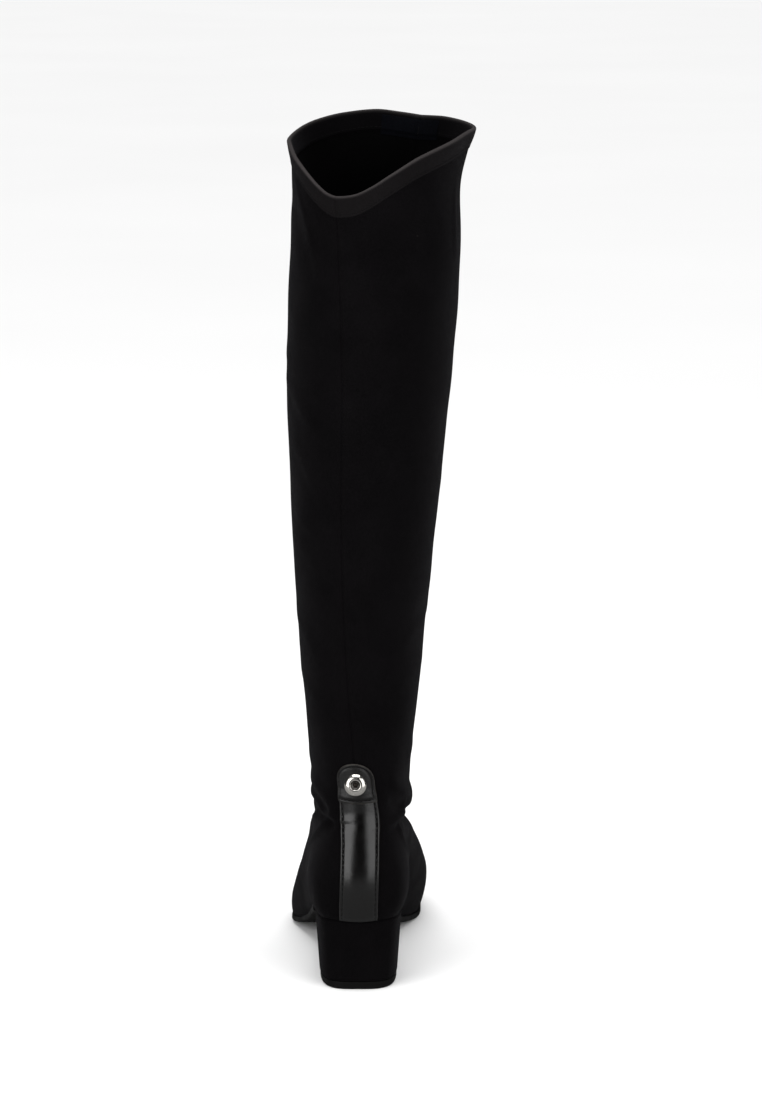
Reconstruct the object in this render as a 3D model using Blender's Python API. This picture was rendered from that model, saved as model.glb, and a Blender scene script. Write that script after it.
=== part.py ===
"""Knee-high stretch boot for the left foot, standing on its sole.

Units are metres. +X is the inner side of the foot, +Y the toe and +Z up. The origin is on the
floor, under the middle of the heel. The upper is a loft of closed rings: ring 0 is the edge where
the upper meets the sole, ring 1 goes round the ankle and ring 2 is the collar.
"""

import math
from bisect import bisect_right
from collections import namedtuple
from functools import cache

import bmesh
import bpy
from mathutils import Matrix, Vector

MM = 0.001

# Foot
LAST_LENGTH = 252 * MM
BALL_WIDTH = 79 * MM
SEAT_WIDTH = 51 * MM
SEAT_HEIGHT = 42 * MM
HEEL_SETBACK = 31 * MM
TOE_SPRING = 8 * MM
TOE_SHIFT = 6 * MM

# Ankle ring, which lies across the instep
ANKLE_WIDTH = 57 * MM
ANKLE_DEPTH = 97 * MM
ANKLE_BACK_HEIGHT = 106 * MM
ANKLE_FRONT_HEIGHT = 130 * MM
BACK_TUCK = 5 * MM

# Shaft
FRONT_HEIGHT = 504 * MM
COLLAR_DIP = 41 * MM
CALF_WIDTH = 96 * MM
CALF_DEPTH = 122 * MM
CALF_OVERHANG = 8 * MM
SHAFT_LEAN = 12.5 * MM
SHAFT_TURN = math.radians(24)

# Thicknesses
WALL = 1.6 * MM
HEM_WALL = 2.6 * MM
HEM_DEPTH = 12 * MM
HEM_OUT = 0.4
SOLE_THICK = 3.5 * MM
SOLE_MARGIN = 0.8 * MM
INSOLE_THICK = 2.5 * MM
GAP = 0.3 * MM

# Block heel and its top lift
BREAST_LENGTH = 57 * MM
HEEL_FOOT_WIDTH = 46 * MM
HEEL_FOOT_LENGTH = 48 * MM
HEEL_UNDERCUT = 5 * MM
HEEL_SQUARENESS = 0.55
LIFT_THICK = 4.5 * MM
LIFT_INSET = 0.5 * MM
LIFT_ROUND = 1.2 * MM

# Leather strip, tab and stud on the heel
STRIP_WIDTH = 21.9 * MM
STRIP_THICK = 1.3 * MM
STRIP_TOP_HEIGHT = 115 * MM
TAB_LAP = 3.5 * MM
TAB_HEIGHT = 23.2 * MM
TAB_WIDTH = 21.8 * MM
TAB_THICK = 1.5 * MM
STUD_DIAMETER = 12.8 * MM
STUD_DROP = 1.1 * MM
STUD_HEIGHT = 3 * MM
STUD_SHANK_RADIUS = 1.6 * MM
EDGE_SHARE = 0.6

# Finenesses of the faceted solids
COLUMNS = 50

# Plan of the sole edge: where along the length, the width as shares of the two named widths, and
# the middle line's shift towards the inner side as a share of the toe's.
Plan = namedtuple("Plan", "along seat ball shift")
PLAN = (
    Plan(0.04, 0.76, 0.00, 0.00),
    Plan(0.10, 0.95, 0.00, 0.00),
    Plan(0.18, 1.00, 0.00, 0.00),
    Plan(0.30, 0.94, 0.02, -0.30),
    Plan(0.42, 0.55, 0.27, -0.68),
    Plan(0.52, 0.20, 0.60, -0.72),
    Plan(0.62, 0.00, 0.90, -0.62),
    Plan(0.70, 0.00, 0.97, -0.20),
    Plan(0.80, 0.00, 0.915, 0.28),
    Plan(0.90, 0.00, 0.74, 0.82),
    Plan(0.96, 0.00, 0.52, 0.95),
)

# Side profile of the sole edge: share of the heel's rise, and of the toe spring.
Rise = namedtuple("Rise", "along heel toe")
RISE = (
    Rise(0.00, 1.00, 0.00),
    Rise(0.12, 0.97, 0.00),
    Rise(0.24, 0.87, 0.00),
    Rise(0.36, 0.62, 0.00),
    Rise(0.48, 0.30, 0.00),
    Rise(0.57, 0.11, 0.00),
    Rise(0.64, 0.03, 0.00),
    Rise(0.70, 0.00, 0.00),
    Rise(0.78, 0.00, 0.00),
    Rise(0.88, 0.00, 0.25),
    Rise(1.00, 0.00, 1.00),
)

# How each side of the foot rises from the sole edge to the ankle ring. around runs from 0 at the
# back to 1 at the toe. rise and flare set the lower pull of the curve, up and outwards, and drop
# the upper one, all as shares of the height between the two rings there.
Swell = namedtuple("Swell", "around rise flare drop")
OUTER_SWELL = (
    Swell(0.00, 0.40, 0.14, 0.20),
    Swell(0.20, 0.40, 0.19, 0.32),
    Swell(0.40, 0.36, 0.11, 0.34),
    Swell(0.60, 0.16, 0.05, 0.50),
    Swell(0.75, 0.18, 0.06, 0.56),
    Swell(0.90, 0.32, 0.06, 0.60),
    Swell(1.00, 0.36, 0.06, 0.66),
)
INNER_SWELL = (
    Swell(0.00, 0.40, 0.14, 0.20),
    Swell(0.20, 0.40, 0.18, 0.32),
    Swell(0.40, 0.36, 0.08, 0.34),
    Swell(0.60, 0.34, 0.135, 0.46),
    Swell(0.75, 0.34, 0.11, 0.54),
    Swell(0.90, 0.34, 0.06, 0.60),
    Swell(1.00, 0.36, 0.06, 0.66),
)

# The shaft from the ankle ring, 0, to the collar, 1. wide and deep run from the ankle's size at 0
# to the calf's at 1, back from the tucked ankle to the overhanging calf, and lean and turn are
# shares of the whole lean and turn.
Ring = namedtuple("Ring", "up wide deep back lean turn")
SHAFT = (
    Ring(0.00, 0.00, 0.00, 0.00, 0.12, 0.05),
    Ring(0.05, 0.07, -0.30, 0.00, 0.13, 0.17),
    Ring(0.12, 0.21, -0.28, 0.04, 0.15, 0.29),
    Ring(0.23, 0.40, 0.00, 0.22, 0.20, 0.46),
    Ring(0.44, 0.70, 0.55, 0.62, 0.34, 0.60),
    Ring(0.64, 0.95, 0.92, 0.92, 0.57, 0.66),
    Ring(0.80, 1.00, 1.00, 1.00, 0.79, 0.78),
    Ring(0.91, 0.92, 1.00, 1.00, 0.87, 0.88),
    Ring(0.96, 0.97, 1.02, 1.00, 0.95, 0.95),
    Ring(1.00, 1.15, 1.10, 1.05, 1.00, 1.00),
)

# Drop of the collar from its front, as a share of its dip, on the outer and on the inner side.
Collar = namedtuple("Collar", "around outer inner")
COLLAR = (
    Collar(0.00, 0.985, 0.985),
    Collar(0.03, 0.95, 0.98),
    Collar(0.07, 0.86, 0.955),
    Collar(0.13, 0.70, 0.85),
    Collar(0.20, 0.52, 0.68),
    Collar(0.31, 0.32, 0.45),
    Collar(0.42, 0.265, 0.31),
    Collar(0.60, 0.105, 0.17),
    Collar(0.72, 0.03, 0.13),
    Collar(0.83, 0.00, 0.10),
    Collar(0.92, 0.04, 0.08),
    Collar(1.00, 0.08, 0.08),
)

# Main folds of the slack cloth: a soft ridge, or a trough where height is below zero. around is
# the angle from the back as a share of the turn, outer side first, and level is in rings. spread
# is the reach round the leg, reach the one up the leg, slope the fall of the fold's line, and
# height a share of the wall.
Fold = namedtuple("Fold", "around level spread reach slope height")
FOLDS = (
    Fold(0.22, 0.910, 0.13, 0.040, 0.10, 1.4),
    Fold(0.22, 0.815, 0.12, 0.036, -0.20, -1.5),
    Fold(0.78, 0.845, 0.12, 0.048, -0.25, 1.6),
    Fold(0.76, 0.730, 0.12, 0.060, 0.25, -2.8),
    Fold(0.50, 0.930, 0.14, 0.060, 0.00, -1.6),
    Fold(0.66, 2.000, 0.05, 0.060, 0.00, 1.8),
    Fold(0.30, 1.970, 0.08, 0.050, 0.00, 1.2),
)


@cache
def curve(table, column):
    """A column's stations, values and slopes, for a smooth curve that never overshoots them."""
    xs = [row[0] for row in table]
    ys = [getattr(row, column) for row in table]
    steps = [(b - a) / (q - p) for p, q, a, b in zip(xs, xs[1:], ys, ys[1:])]
    tilt = [steps[0]]
    for before, after in zip(steps, steps[1:]):
        same_way = before * after > 0
        tilt.append(2 * before * after / (before + after) if same_way else 0.0)
    return xs, ys, tilt + [steps[-1]]


def read(table, column, x):
    """A table's column at x, on a smooth curve through its rows."""
    xs, ys, tilt = curve(table, column)
    x = min(max(x, xs[0]), xs[-1])
    i = min(bisect_right(xs, x), len(xs) - 1) - 1
    span = xs[i + 1] - xs[i]
    t = (x - xs[i]) / span
    return (
        ys[i] * (1 + 2 * t) * (1 - t) ** 2
        + tilt[i] * span * t * (1 - t) ** 2
        + ys[i + 1] * t * t * (3 - 2 * t)
        + tilt[i + 1] * span * t * t * (t - 1)
    )


def mix(a, b, t):
    return a + (b - a) * t


def ease(t):
    """0 below 0 and 1 above 1, with a soft step between."""
    t = min(max(t, 0.0), 1.0)
    return t * t * (3 - 2 * t)


def half_way(u):
    """Share of the way from the back, 0, to the front, 1, on whichever side u lies."""
    return 1 - abs(2 * (u % 1.0) - 1)


def is_outer(u):
    return (u % 1.0) < 0.5


def roundness(along):
    """How much an end's rounding narrows the plan at this share of the length."""
    return 2 * math.sqrt(max(along * (1 - along), 0.0))


FULLNESS = namedtuple("Fullness", "along seat ball")
FULL_PLAN = tuple(
    FULLNESS(p.along, p.seat / roundness(p.along), p.ball / roundness(p.along)) for p in PLAN
)


def plan_point(u, grow=0.0):
    """Point of the sole edge's plan, at u round it, moved outwards by grow."""
    angle = 2 * math.pi * u
    along = (1 - math.cos(angle)) / 2
    width = SEAT_WIDTH * read(FULL_PLAN, "seat", along) + BALL_WIDTH * read(FULL_PLAN, "ball", along)
    x = TOE_SHIFT * read(PLAN, "shift", along) - width / 2 * math.sin(angle)
    y = LAST_LENGTH * along - HEEL_SETBACK
    if not grow:
        return Vector((x, y, 0))
    step = 1e-4
    tangent = plan_point(u + step) - plan_point(u - step)
    outwards = Vector((-tangent.y, tangent.x, 0)).normalized()
    return Vector((x, y, 0)) + outwards * grow


def edge_height(y):
    """Height of the sole's top face above the floor, at y."""
    along = min(max((y + HEEL_SETBACK) / LAST_LENGTH, 0.0), 1.0)
    heel_rise = (SEAT_HEIGHT - SOLE_THICK) * read(RISE, "heel", along)
    return SOLE_THICK + heel_rise + TOE_SPRING * read(RISE, "toe", along)


def edge_point(u):
    """Point of the upper's lower edge, which sits just above the sole."""
    point = plan_point(u)
    point.z = edge_height(point.y) + GAP
    return point


def shaft_point(u, up):
    """Point of the shaft's outer face at u round it, up from the ankle ring, 0, to the collar, 1."""
    angle = 2 * math.pi * u
    wide = mix(ANKLE_WIDTH, CALF_WIDTH, read(SHAFT, "wide", up)) / 2
    deep = mix(ANKLE_DEPTH, CALF_DEPTH, read(SHAFT, "deep", up)) / 2
    back = mix(BACK_TUCK, -CALF_OVERHANG, read(SHAFT, "back", up)) - HEEL_SETBACK
    turn = SHAFT_TURN * read(SHAFT, "turn", up)
    centre = Vector((SHAFT_LEAN * read(SHAFT, "lean", up), back + deep, 0))
    ring = Vector((-wide * math.sin(angle), -deep * math.cos(angle), 0))
    low = mix(ANKLE_BACK_HEIGHT, ANKLE_FRONT_HEIGHT, (1 - math.cos(angle)) / 2)
    side = "outer" if is_outer(u) else "inner"
    high = FRONT_HEIGHT - COLLAR_DIP * read(COLLAR, side, half_way(u))
    point = centre + Matrix.Rotation(-turn, 3, "Z") @ ring
    point.z = mix(low, high, up)
    return point


def foot_point(u, level):
    """Point of the foot's outer face, on the curve from the sole edge, 0, to the ankle ring, 1."""
    low, high = edge_point(u), shaft_point(u, 0)
    height = high.z - low.z
    table = OUTER_SWELL if is_outer(u) else INNER_SWELL
    way = half_way(u)
    outwards = plan_point(u, 1.0) - plan_point(u)
    upwards = (shaft_point(u, 0.02) - high).normalized()
    rise, flare, drop = (read(table, column, way) * height for column in Swell._fields[1:])
    first = low + Vector((0, 0, rise)) + outwards * flare
    second = high - upwards * drop
    t = level
    return (
        low * (1 - t) ** 3
        + first * (3 * t * (1 - t) ** 2)
        + second * (3 * t * t * (1 - t))
        + high * t**3
    )


def bare_point(u, level):
    """Point of the upper without its folds. level is 0 at the sole, 1 at the ankle, 2 at the collar."""
    return foot_point(u, level) if level < 1 else shaft_point(u, level - 1)


def fold_height(u, level):
    """How far the folds lift the cloth at this place."""
    total = 0.0
    for fold in FOLDS:
        across = (u - fold.around + 0.5) % 1.0 - 0.5
        along = level - fold.level - fold.slope * across
        total += fold.height * math.exp(-((across / fold.spread) ** 2) - (along / fold.reach) ** 2)
    return WALL * total


@cache
def upper_place(u, level):
    """Point of the upper's outer face, folds and all, and the unit normal of the bare face there."""
    step = 2e-3
    round_it = bare_point(u + step, level) - bare_point(u - step, level)
    up_it = bare_point(u, min(level + step, 2)) - bare_point(u, max(level - step, 0))
    normal = up_it.cross(round_it).normalized()
    return bare_point(u, level) + normal * fold_height(u, level), normal


def upper_point(u, level, out=0.0):
    """Point out from the upper's outer face, or inside it where out is below zero."""
    point, normal = upper_place(u, level)
    return point + normal * out


def hem_share(u, level):
    """1 in the turned hem below the collar, and 0 under it."""
    if level < 1.5:
        return 0.0
    below = shaft_point(u, 1).z - shaft_point(u, level - 1).z
    return ease((HEM_DEPTH - below) / WALL + 0.5)


def new_object(name, mesh_maker, colour, roughness, metallic=0.0, smooth_angle=40):
    """An object whose mesh mesh_maker fills in, with its own plain material."""
    mesh = bpy.data.meshes.new(name)
    shape = bmesh.new()
    mesh_maker(shape)
    bmesh.ops.remove_doubles(shape, verts=shape.verts, dist=1e-6)
    bmesh.ops.recalc_face_normals(shape, faces=shape.faces)
    shape.to_mesh(mesh)
    shape.free()
    mesh.shade_smooth()
    mesh.set_sharp_from_angle(angle=math.radians(smooth_angle))
    obj = bpy.data.objects.new(name, mesh)
    bpy.context.scene.collection.objects.link(obj)
    material = bpy.data.materials.new(name)
    material.use_nodes = True
    shader = material.node_tree.nodes["Principled BSDF"]
    shader.inputs["Base Color"].default_value = (*colour, 1)
    shader.inputs["Roughness"].default_value = roughness
    shader.inputs["Metallic"].default_value = metallic
    mesh.materials.append(material)
    return obj


def add_ring(shape, points):
    return [shape.verts.new(point) for point in points]


def bridge(shape, lower, upper, closed=True):
    """Joins two rings of as many points with a band of faces."""
    count = len(lower)
    for i in range(count if closed else count - 1):
        j = (i + 1) % count
        shape.faces.new((lower[i], lower[j], upper[j], upper[i]))


def loft(shape, rings):
    """Closed rings joined in a row and capped. Each ring runs along one side and back the other."""
    made = [add_ring(shape, ring) for ring in rings]
    for lower, upper in zip(made, made[1:]):
        bridge(shape, lower, upper)
    for ring in (made[0], made[-1]):
        for i in range(len(ring) // 2 - 1):
            shape.faces.new((ring[i], ring[i + 1], ring[-i - 2], ring[-i - 1]))


def slab(shape, below, above):
    """A curved plate from two grids of as many points, closed round its edge."""
    sheets = [[add_ring(shape, row) for row in grid] for grid in (below, above)]
    for sheet in sheets:
        for row, following in zip(sheet, sheet[1:]):
            bridge(shape, row, following, closed=False)
    rims = []
    for sheet in sheets:
        left = [row[0] for row in sheet[1:-1]]
        right = [row[-1] for row in sheet[1:-1]]
        rims.append(sheet[0] + right + sheet[-1][::-1] + left[::-1])
    bridge(shape, rims[0], rims[1])


def columns_between(start, end):
    """Turns of the upper's columns between two turns, with these at the ends."""
    turns = [(i + 0.5) / COLUMNS for i in range(-COLUMNS, COLUMNS)]
    margin = 0.2 / COLUMNS
    return [start, *(u for u in turns if start + margin < u < end - margin), end]


def upper_levels():
    """Rings of the upper: close together at the sole edge, the ankle's folds and the hem."""
    foot = [0, 0.05, 0.12, 0.2, 0.3, 0.4, 0.5, 0.58, 0.65, 0.7, 0.74, 0.78, 0.82, 0.86, 0.9, 0.95]
    ankle = [1, 1.02, 1.045, 1.08]
    calf = [1.08 + 0.84 * (i + 1) / 13 for i in range(13)]
    share = HEM_DEPTH / (FRONT_HEIGHT - COLLAR_DIP - ANKLE_BACK_HEIGHT)
    hem = [2 - share * 1.25, 2 - share * 0.75, 2 - share * 0.3, 2]
    return foot + ankle + calf + hem


def make_upper(shape):
    """The hollow upper, one wall from the sole edge to the hem, open at the collar and below."""
    columns = columns_between(0, 1)[1:-1]
    extra = HEM_WALL - WALL
    outer, inner = [], []
    for level in upper_levels():
        hems = [hem_share(u, level) for u in columns]
        outside = [upper_point(u, level, extra * HEM_OUT * hem) for u, hem in zip(columns, hems)]
        inside = [
            upper_point(u, level, -WALL - extra * (1 - HEM_OUT) * hem)
            for u, hem in zip(columns, hems)
        ]
        if level in (0, 2):
            for u, *pair in zip(columns, outside, inside):
                for point in pair:
                    point.z = bare_point(u, level).z
        outer.append(outside)
        inner.append(inside)
    rings = [add_ring(shape, ring) for ring in outer + inner[::-1]]
    for ring, following in zip(rings, rings[1:] + rings[:1]):
        bridge(shape, ring, following)


def breast_turn():
    """Where the breast line meets the sole edge, in turns from the back."""
    return math.acos(1 - 2 * BREAST_LENGTH / LAST_LENGTH) / (2 * math.pi)


def make_outsole(shape):
    """The thin outsole, from the heel's breast to the toe, with its arch and toe spring."""
    start = breast_turn()
    rings = []
    for down, grow in ((0, SOLE_MARGIN), (0.75, SOLE_MARGIN), (1, SOLE_MARGIN - SOLE_THICK / 4)):
        ring = [plan_point(u, grow) for u in columns_between(start, 1 - start)]
        for end in (ring[0], ring[-1]):
            end.y = BREAST_LENGTH - HEEL_SETBACK + GAP
        for point in ring:
            point.z = edge_height(point.y) - SOLE_THICK * down
        rings.append(ring)
    loft(shape, rings)


def make_insole(shape):
    """The insole, which lies inside the upper's lower edge, from the heel to the toe."""
    rings = []
    for lift in (GAP, GAP + INSOLE_THICK):
        ring = [plan_point(u, -(WALL + GAP)) for u in columns_between(0, 1)[1:-1]]
        for point in ring:
            point.z = edge_height(point.y) + lift
        rings.append(ring)
    loft(shape, rings)


def heel_ring(down, inset=0.0):
    """Outline of the heel, from its seat, 0, to its foot, 1: a D that is straight at the breast."""
    start = breast_turn()
    length = HEEL_FOOT_LENGTH - 2 * inset
    turns = columns_between(-start, start)[::-1]
    points = []
    for i, u in enumerate(turns):
        seat = plan_point(u)
        angle = math.pi * (i / (len(turns) - 1) - 0.5)
        across = math.copysign(abs(math.sin(angle)) ** HEEL_SQUARENESS, angle)
        foot_x = (HEEL_FOOT_WIDTH / 2 - inset) * across
        foot_y = length * (1 - math.cos(angle) ** HEEL_SQUARENESS) + HEEL_UNDERCUT + inset
        foot = Vector((foot_x, foot_y - HEEL_SETBACK, 0))
        point = seat.lerp(foot, down)
        point.z = mix(edge_height(seat.y), LIFT_THICK + GAP, down)
        points.append(point)
    return points


def make_heel(shape):
    """The block heel: its seat follows the sole edge, and its foot lies on the top lift."""
    loft(shape, [heel_ring(down) for down in (0, 0.25, 0.5, 0.75, 1)])


def make_top_lift(shape):
    """The rubber top lift under the heel, rounded off at the floor."""
    rings = []
    for height, inset in (
        (0.0, LIFT_INSET + LIFT_ROUND),
        (LIFT_ROUND * 0.3, LIFT_INSET + LIFT_ROUND * 0.3),
        (LIFT_ROUND, LIFT_INSET),
        (LIFT_THICK, LIFT_INSET),
    ):
        rings.append([Vector((point.x, point.y, height)) for point in heel_ring(1, inset)])
    loft(shape, rings)


def facet_point(u, level, out):
    """Point out from the upper's facets, so that what lies on them follows each one."""
    levels = upper_levels()
    j = min(bisect_right(levels, level), len(levels) - 1) - 1
    column = math.floor(u * COLUMNS - 0.5) + 0.5
    rows = []
    for row in (levels[j], levels[j + 1]):
        sides = [upper_point(side / COLUMNS, row, out) for side in (column, column + 1)]
        rows.append(sides[0].lerp(sides[1], u * COLUMNS - column))
    return rows[0].lerp(rows[1], (level - levels[j]) / (levels[j + 1] - levels[j]))


@cache
def back_level(height):
    """The level at which the back seam reaches this height above the floor."""
    low, high = 0.0, 2.0
    for _ in range(24):
        middle = (low + high) / 2
        if facet_point(0, middle, 0).z < height:
            low = middle
        else:
            high = middle
    return low


@cache
def back_turn(across, level):
    """Turns round the upper that lie this far across from the back seam."""
    seam = facet_point(0, level, 0)
    side = math.copysign(1, -across)
    low, high = 0.0, 0.25
    for _ in range(20):
        middle = (low + high) / 2
        if (facet_point(side * middle, level, 0) - seam).length < abs(across):
            low = middle
        else:
            high = middle
    return side * low


def make_strip(shape):
    """The leather strip over the back seam, from the sole edge up to the tab."""
    top = back_level(STRIP_TOP_HEIGHT)
    below, above = [], []
    for level in [row for row in upper_levels() if row < top - 0.005] + [top]:
        inside, outside = [], []
        for k in range(-4, 5):
            u = back_turn(STRIP_WIDTH * k / 8, level)
            thick = STRIP_THICK * (EDGE_SHARE if abs(k) == 4 else 1.0)
            inside.append(facet_point(u, level, GAP))
            outside.append(facet_point(u, level, GAP + thick))
        below.append(inside)
        above.append(outside)
    slab(shape, below, above)


def tab_middle():
    """Height of the middle of the tab's round top."""
    return STRIP_TOP_HEIGHT - TAB_LAP + TAB_HEIGHT - TAB_WIDTH / 2


def tab_outline(i, rows):
    """Height and half width of the tab's row i, straight below and round at its top."""
    radius = TAB_WIDTH / 2
    if i <= 4:
        return mix(STRIP_TOP_HEIGHT - TAB_LAP, tab_middle(), i / 4), radius
    angle = math.radians(82) * (i - 4) / (rows - 4)
    return tab_middle() + radius * math.sin(angle), radius * math.cos(angle)


def tab_seat(height):
    """How far the tab's inner face stands off the upper: over the strip's end, then down on it."""
    over = GAP + STRIP_THICK + GAP
    return mix(over, GAP, ease((height - STRIP_TOP_HEIGHT - GAP) / (3 * STRIP_THICK)))


def make_tab(shape):
    """The round-ended leather tab above the strip, which it overlaps."""
    rows = 12
    below, above = [], []
    for i in range(rows + 1):
        height, half = tab_outline(i, rows)
        level = back_level(height)
        seat = tab_seat(height)
        inside, outside = [], []
        for k in range(-4, 5):
            u = back_turn(half * k / 4, level)
            thick = TAB_THICK * (EDGE_SHARE if abs(k) == 4 else 1.0)
            inside.append(facet_point(u, level, seat))
            outside.append(facet_point(u, level, seat + thick))
        below.append(inside)
        above.append(outside)
    slab(shape, below, above)


def tab_face(across, height):
    """Point of the tab's outer face."""
    level = back_level(height)
    return facet_point(back_turn(across, level), level, tab_seat(height) + TAB_THICK)


def stud_place():
    """Where the stud's middle lies on the tab, the way it faces, and how far its rim clears it."""
    height = tab_middle() - STUD_DROP
    arm = STUD_DIAMETER / 2
    rise = tab_face(0, height + arm) - tab_face(0, height - arm)
    across = tab_face(arm, height) - tab_face(-arm, height)
    centre, facing = tab_face(0, height), across.cross(rise).normalized()
    rim = [
        tab_face(arm * math.sin(angle), height + arm * math.cos(angle))
        for angle in (math.pi * i / 8 for i in range(16))
    ]
    return centre, facing, max(0, *((point - centre).dot(facing) for point in rim)) + GAP


def make_stud(shape):
    """The turned stud, a shallow dish with a domed middle, on a shank that enters the tab."""
    centre, facing, clear = stud_place()
    radius = STUD_DIAMETER / 2
    profile = (
        (0.0, STUD_HEIGHT),
        (radius * 0.16, STUD_HEIGHT * 0.97),
        (radius * 0.27, STUD_HEIGHT * 0.84),
        (radius * 0.34, STUD_HEIGHT * 0.62),
        (radius * 0.42, STUD_HEIGHT * 0.56),
        (radius * 0.72, STUD_HEIGHT * 0.62),
        (radius * 0.88, STUD_HEIGHT * 0.58),
        (radius * 0.97, STUD_HEIGHT * 0.42),
        (radius, STUD_HEIGHT * 0.25),
        (radius * 0.97, 0.0),
        (STUD_SHANK_RADIUS, 0.0),
        (STUD_SHANK_RADIUS, -clear - TAB_THICK),
        (0.0, -clear - TAB_THICK),
    )
    turned = [shape.verts.new((r, 0, z)) for r, z in profile]
    edges = [shape.edges.new(pair) for pair in zip(turned, turned[1:])]
    bmesh.ops.spin(
        shape,
        geom=turned + edges,
        cent=(0, 0, 0),
        axis=(0, 0, 1),
        angle=2 * math.pi,
        steps=28,
        use_merge=True,
    )
    turn = facing.to_track_quat("Z", "Y").to_matrix().to_4x4()
    place = Matrix.Translation(centre + facing * clear) @ turn
    bmesh.ops.transform(shape, matrix=place, verts=shape.verts)


def make_shank_hole(shape):
    """Cutter for the hole that the stud's shank has in the tab."""
    centre, facing, _ = stud_place()
    turn = facing.to_track_quat("Z", "Y").to_matrix().to_4x4()
    bmesh.ops.create_cone(
        shape,
        cap_ends=True,
        segments=24,
        radius1=STUD_SHANK_RADIUS + GAP,
        radius2=STUD_SHANK_RADIUS + GAP,
        depth=6 * TAB_THICK,
        matrix=Matrix.Translation(centre) @ turn,
    )


def cut(obj, cutter):
    """Cuts the cutter's shape out of obj, and hides the cutter."""
    cutter.hide_render = True
    cutter.display_type = "WIRE"
    modifier = obj.modifiers.new("hole", "BOOLEAN")
    modifier.operation = "DIFFERENCE"
    modifier.object = cutter


def main():
    for old in list(bpy.data.objects):
        bpy.data.objects.remove(old)
    cloth, leather = (0.012, 0.011, 0.012), (0.016, 0.015, 0.015)
    new_object("upper", make_upper, cloth, 0.85)
    new_object("outsole", make_outsole, (0.015, 0.015, 0.015), 0.6)
    new_object("insole", make_insole, (0.02, 0.02, 0.02), 0.8)
    new_object("heel", make_heel, cloth, 0.85)
    new_object("top_lift", make_top_lift, (0.03, 0.03, 0.03), 0.55)
    new_object("back_strip", make_strip, leather, 0.25)
    tab = new_object("back_tab", make_tab, leather, 0.45)
    new_object("stud", make_stud, (0.6, 0.58, 0.55), 0.25, metallic=1.0)
    cut(tab, new_object("shank_hole", make_shank_hole, leather, 0.5))


main()
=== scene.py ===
"""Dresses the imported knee-high stretch boot: cloth, leather, stitching, metal, floor and light.

Units are metres in the frame's own axes: +X is the inner side of the foot, +Y the toe and +Z up.
A place on the upper is given by its turn, which is 0 at the back seam and grows towards the outer
side, and by its level, which is 0 at the sole, 1 at the ankle and 2 at the collar.
"""

import logging
import math
from dataclasses import dataclass
from enum import Enum
from typing import Callable, Sequence

import bmesh
import bpy
import numpy as np
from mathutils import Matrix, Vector


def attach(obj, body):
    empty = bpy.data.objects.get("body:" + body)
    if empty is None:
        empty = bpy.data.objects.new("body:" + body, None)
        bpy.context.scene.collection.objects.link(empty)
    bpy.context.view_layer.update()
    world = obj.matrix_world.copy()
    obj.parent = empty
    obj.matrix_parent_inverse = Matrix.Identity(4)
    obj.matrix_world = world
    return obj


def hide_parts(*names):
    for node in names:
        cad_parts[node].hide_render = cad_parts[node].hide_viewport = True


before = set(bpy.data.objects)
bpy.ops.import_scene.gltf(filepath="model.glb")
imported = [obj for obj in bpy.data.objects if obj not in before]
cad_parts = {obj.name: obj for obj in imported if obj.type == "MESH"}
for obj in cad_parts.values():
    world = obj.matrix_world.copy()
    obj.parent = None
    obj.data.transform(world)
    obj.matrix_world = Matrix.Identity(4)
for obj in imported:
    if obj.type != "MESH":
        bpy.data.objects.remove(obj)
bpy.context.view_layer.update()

Array = np.ndarray
MM = 0.001
ROOT = "root"
log = logging.getLogger("boot")


# ---------------------------------------------------------------------------------------------
# Form of the boot
# ---------------------------------------------------------------------------------------------


class Profile:
    """Smooth curves through a table's rows, one for each column after the first."""

    def __init__(self, *rows: Sequence[float]) -> None:
        """Stores the rows and the slopes of curves that never overshoot them.

        Args:
            rows: station first, then the values there.
        """
        table = np.array(rows, float)
        self.stations, self.values = table[:, 0], table[:, 1:]
        steps = np.diff(self.values, axis=0) / np.diff(self.stations)[:, None]
        before, after = steps[:-1], steps[1:]
        same_way = before * after > 0
        total = np.where(same_way, before + after, 1.0)
        inner = np.where(same_way, 2 * before * after / total, 0.0)
        self.slopes = np.vstack([steps[:1], inner, steps[-1:]])

    def read(self, column: int, x: Array) -> Array:
        """Reads one column.

        Args:
            column: 0 for the first value after the station.
            x: stations to read at.

        Returns:
            The values there.
        """
        x = np.clip(x, self.stations[0], self.stations[-1])
        last = len(self.stations) - 2
        i = np.clip(np.searchsorted(self.stations, x, side="right") - 1, 0, last)
        span = self.stations[i + 1] - self.stations[i]
        t = (x - self.stations[i]) / span
        return (
            self.values[i, column] * (1 + 2 * t) * (1 - t) ** 2
            + self.slopes[i, column] * span * t * (1 - t) ** 2
            + self.values[i + 1, column] * t * t * (3 - 2 * t)
            + self.slopes[i + 1, column] * span * t * t * (t - 1)
        )


def _fullness(along: float, seat: float, ball: float) -> tuple[float, float, float]:
    """A row of the plan with the ends' rounding divided out."""
    roundness = 2 * math.sqrt(along * (1 - along))
    return along, seat / roundness, ball / roundness


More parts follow.
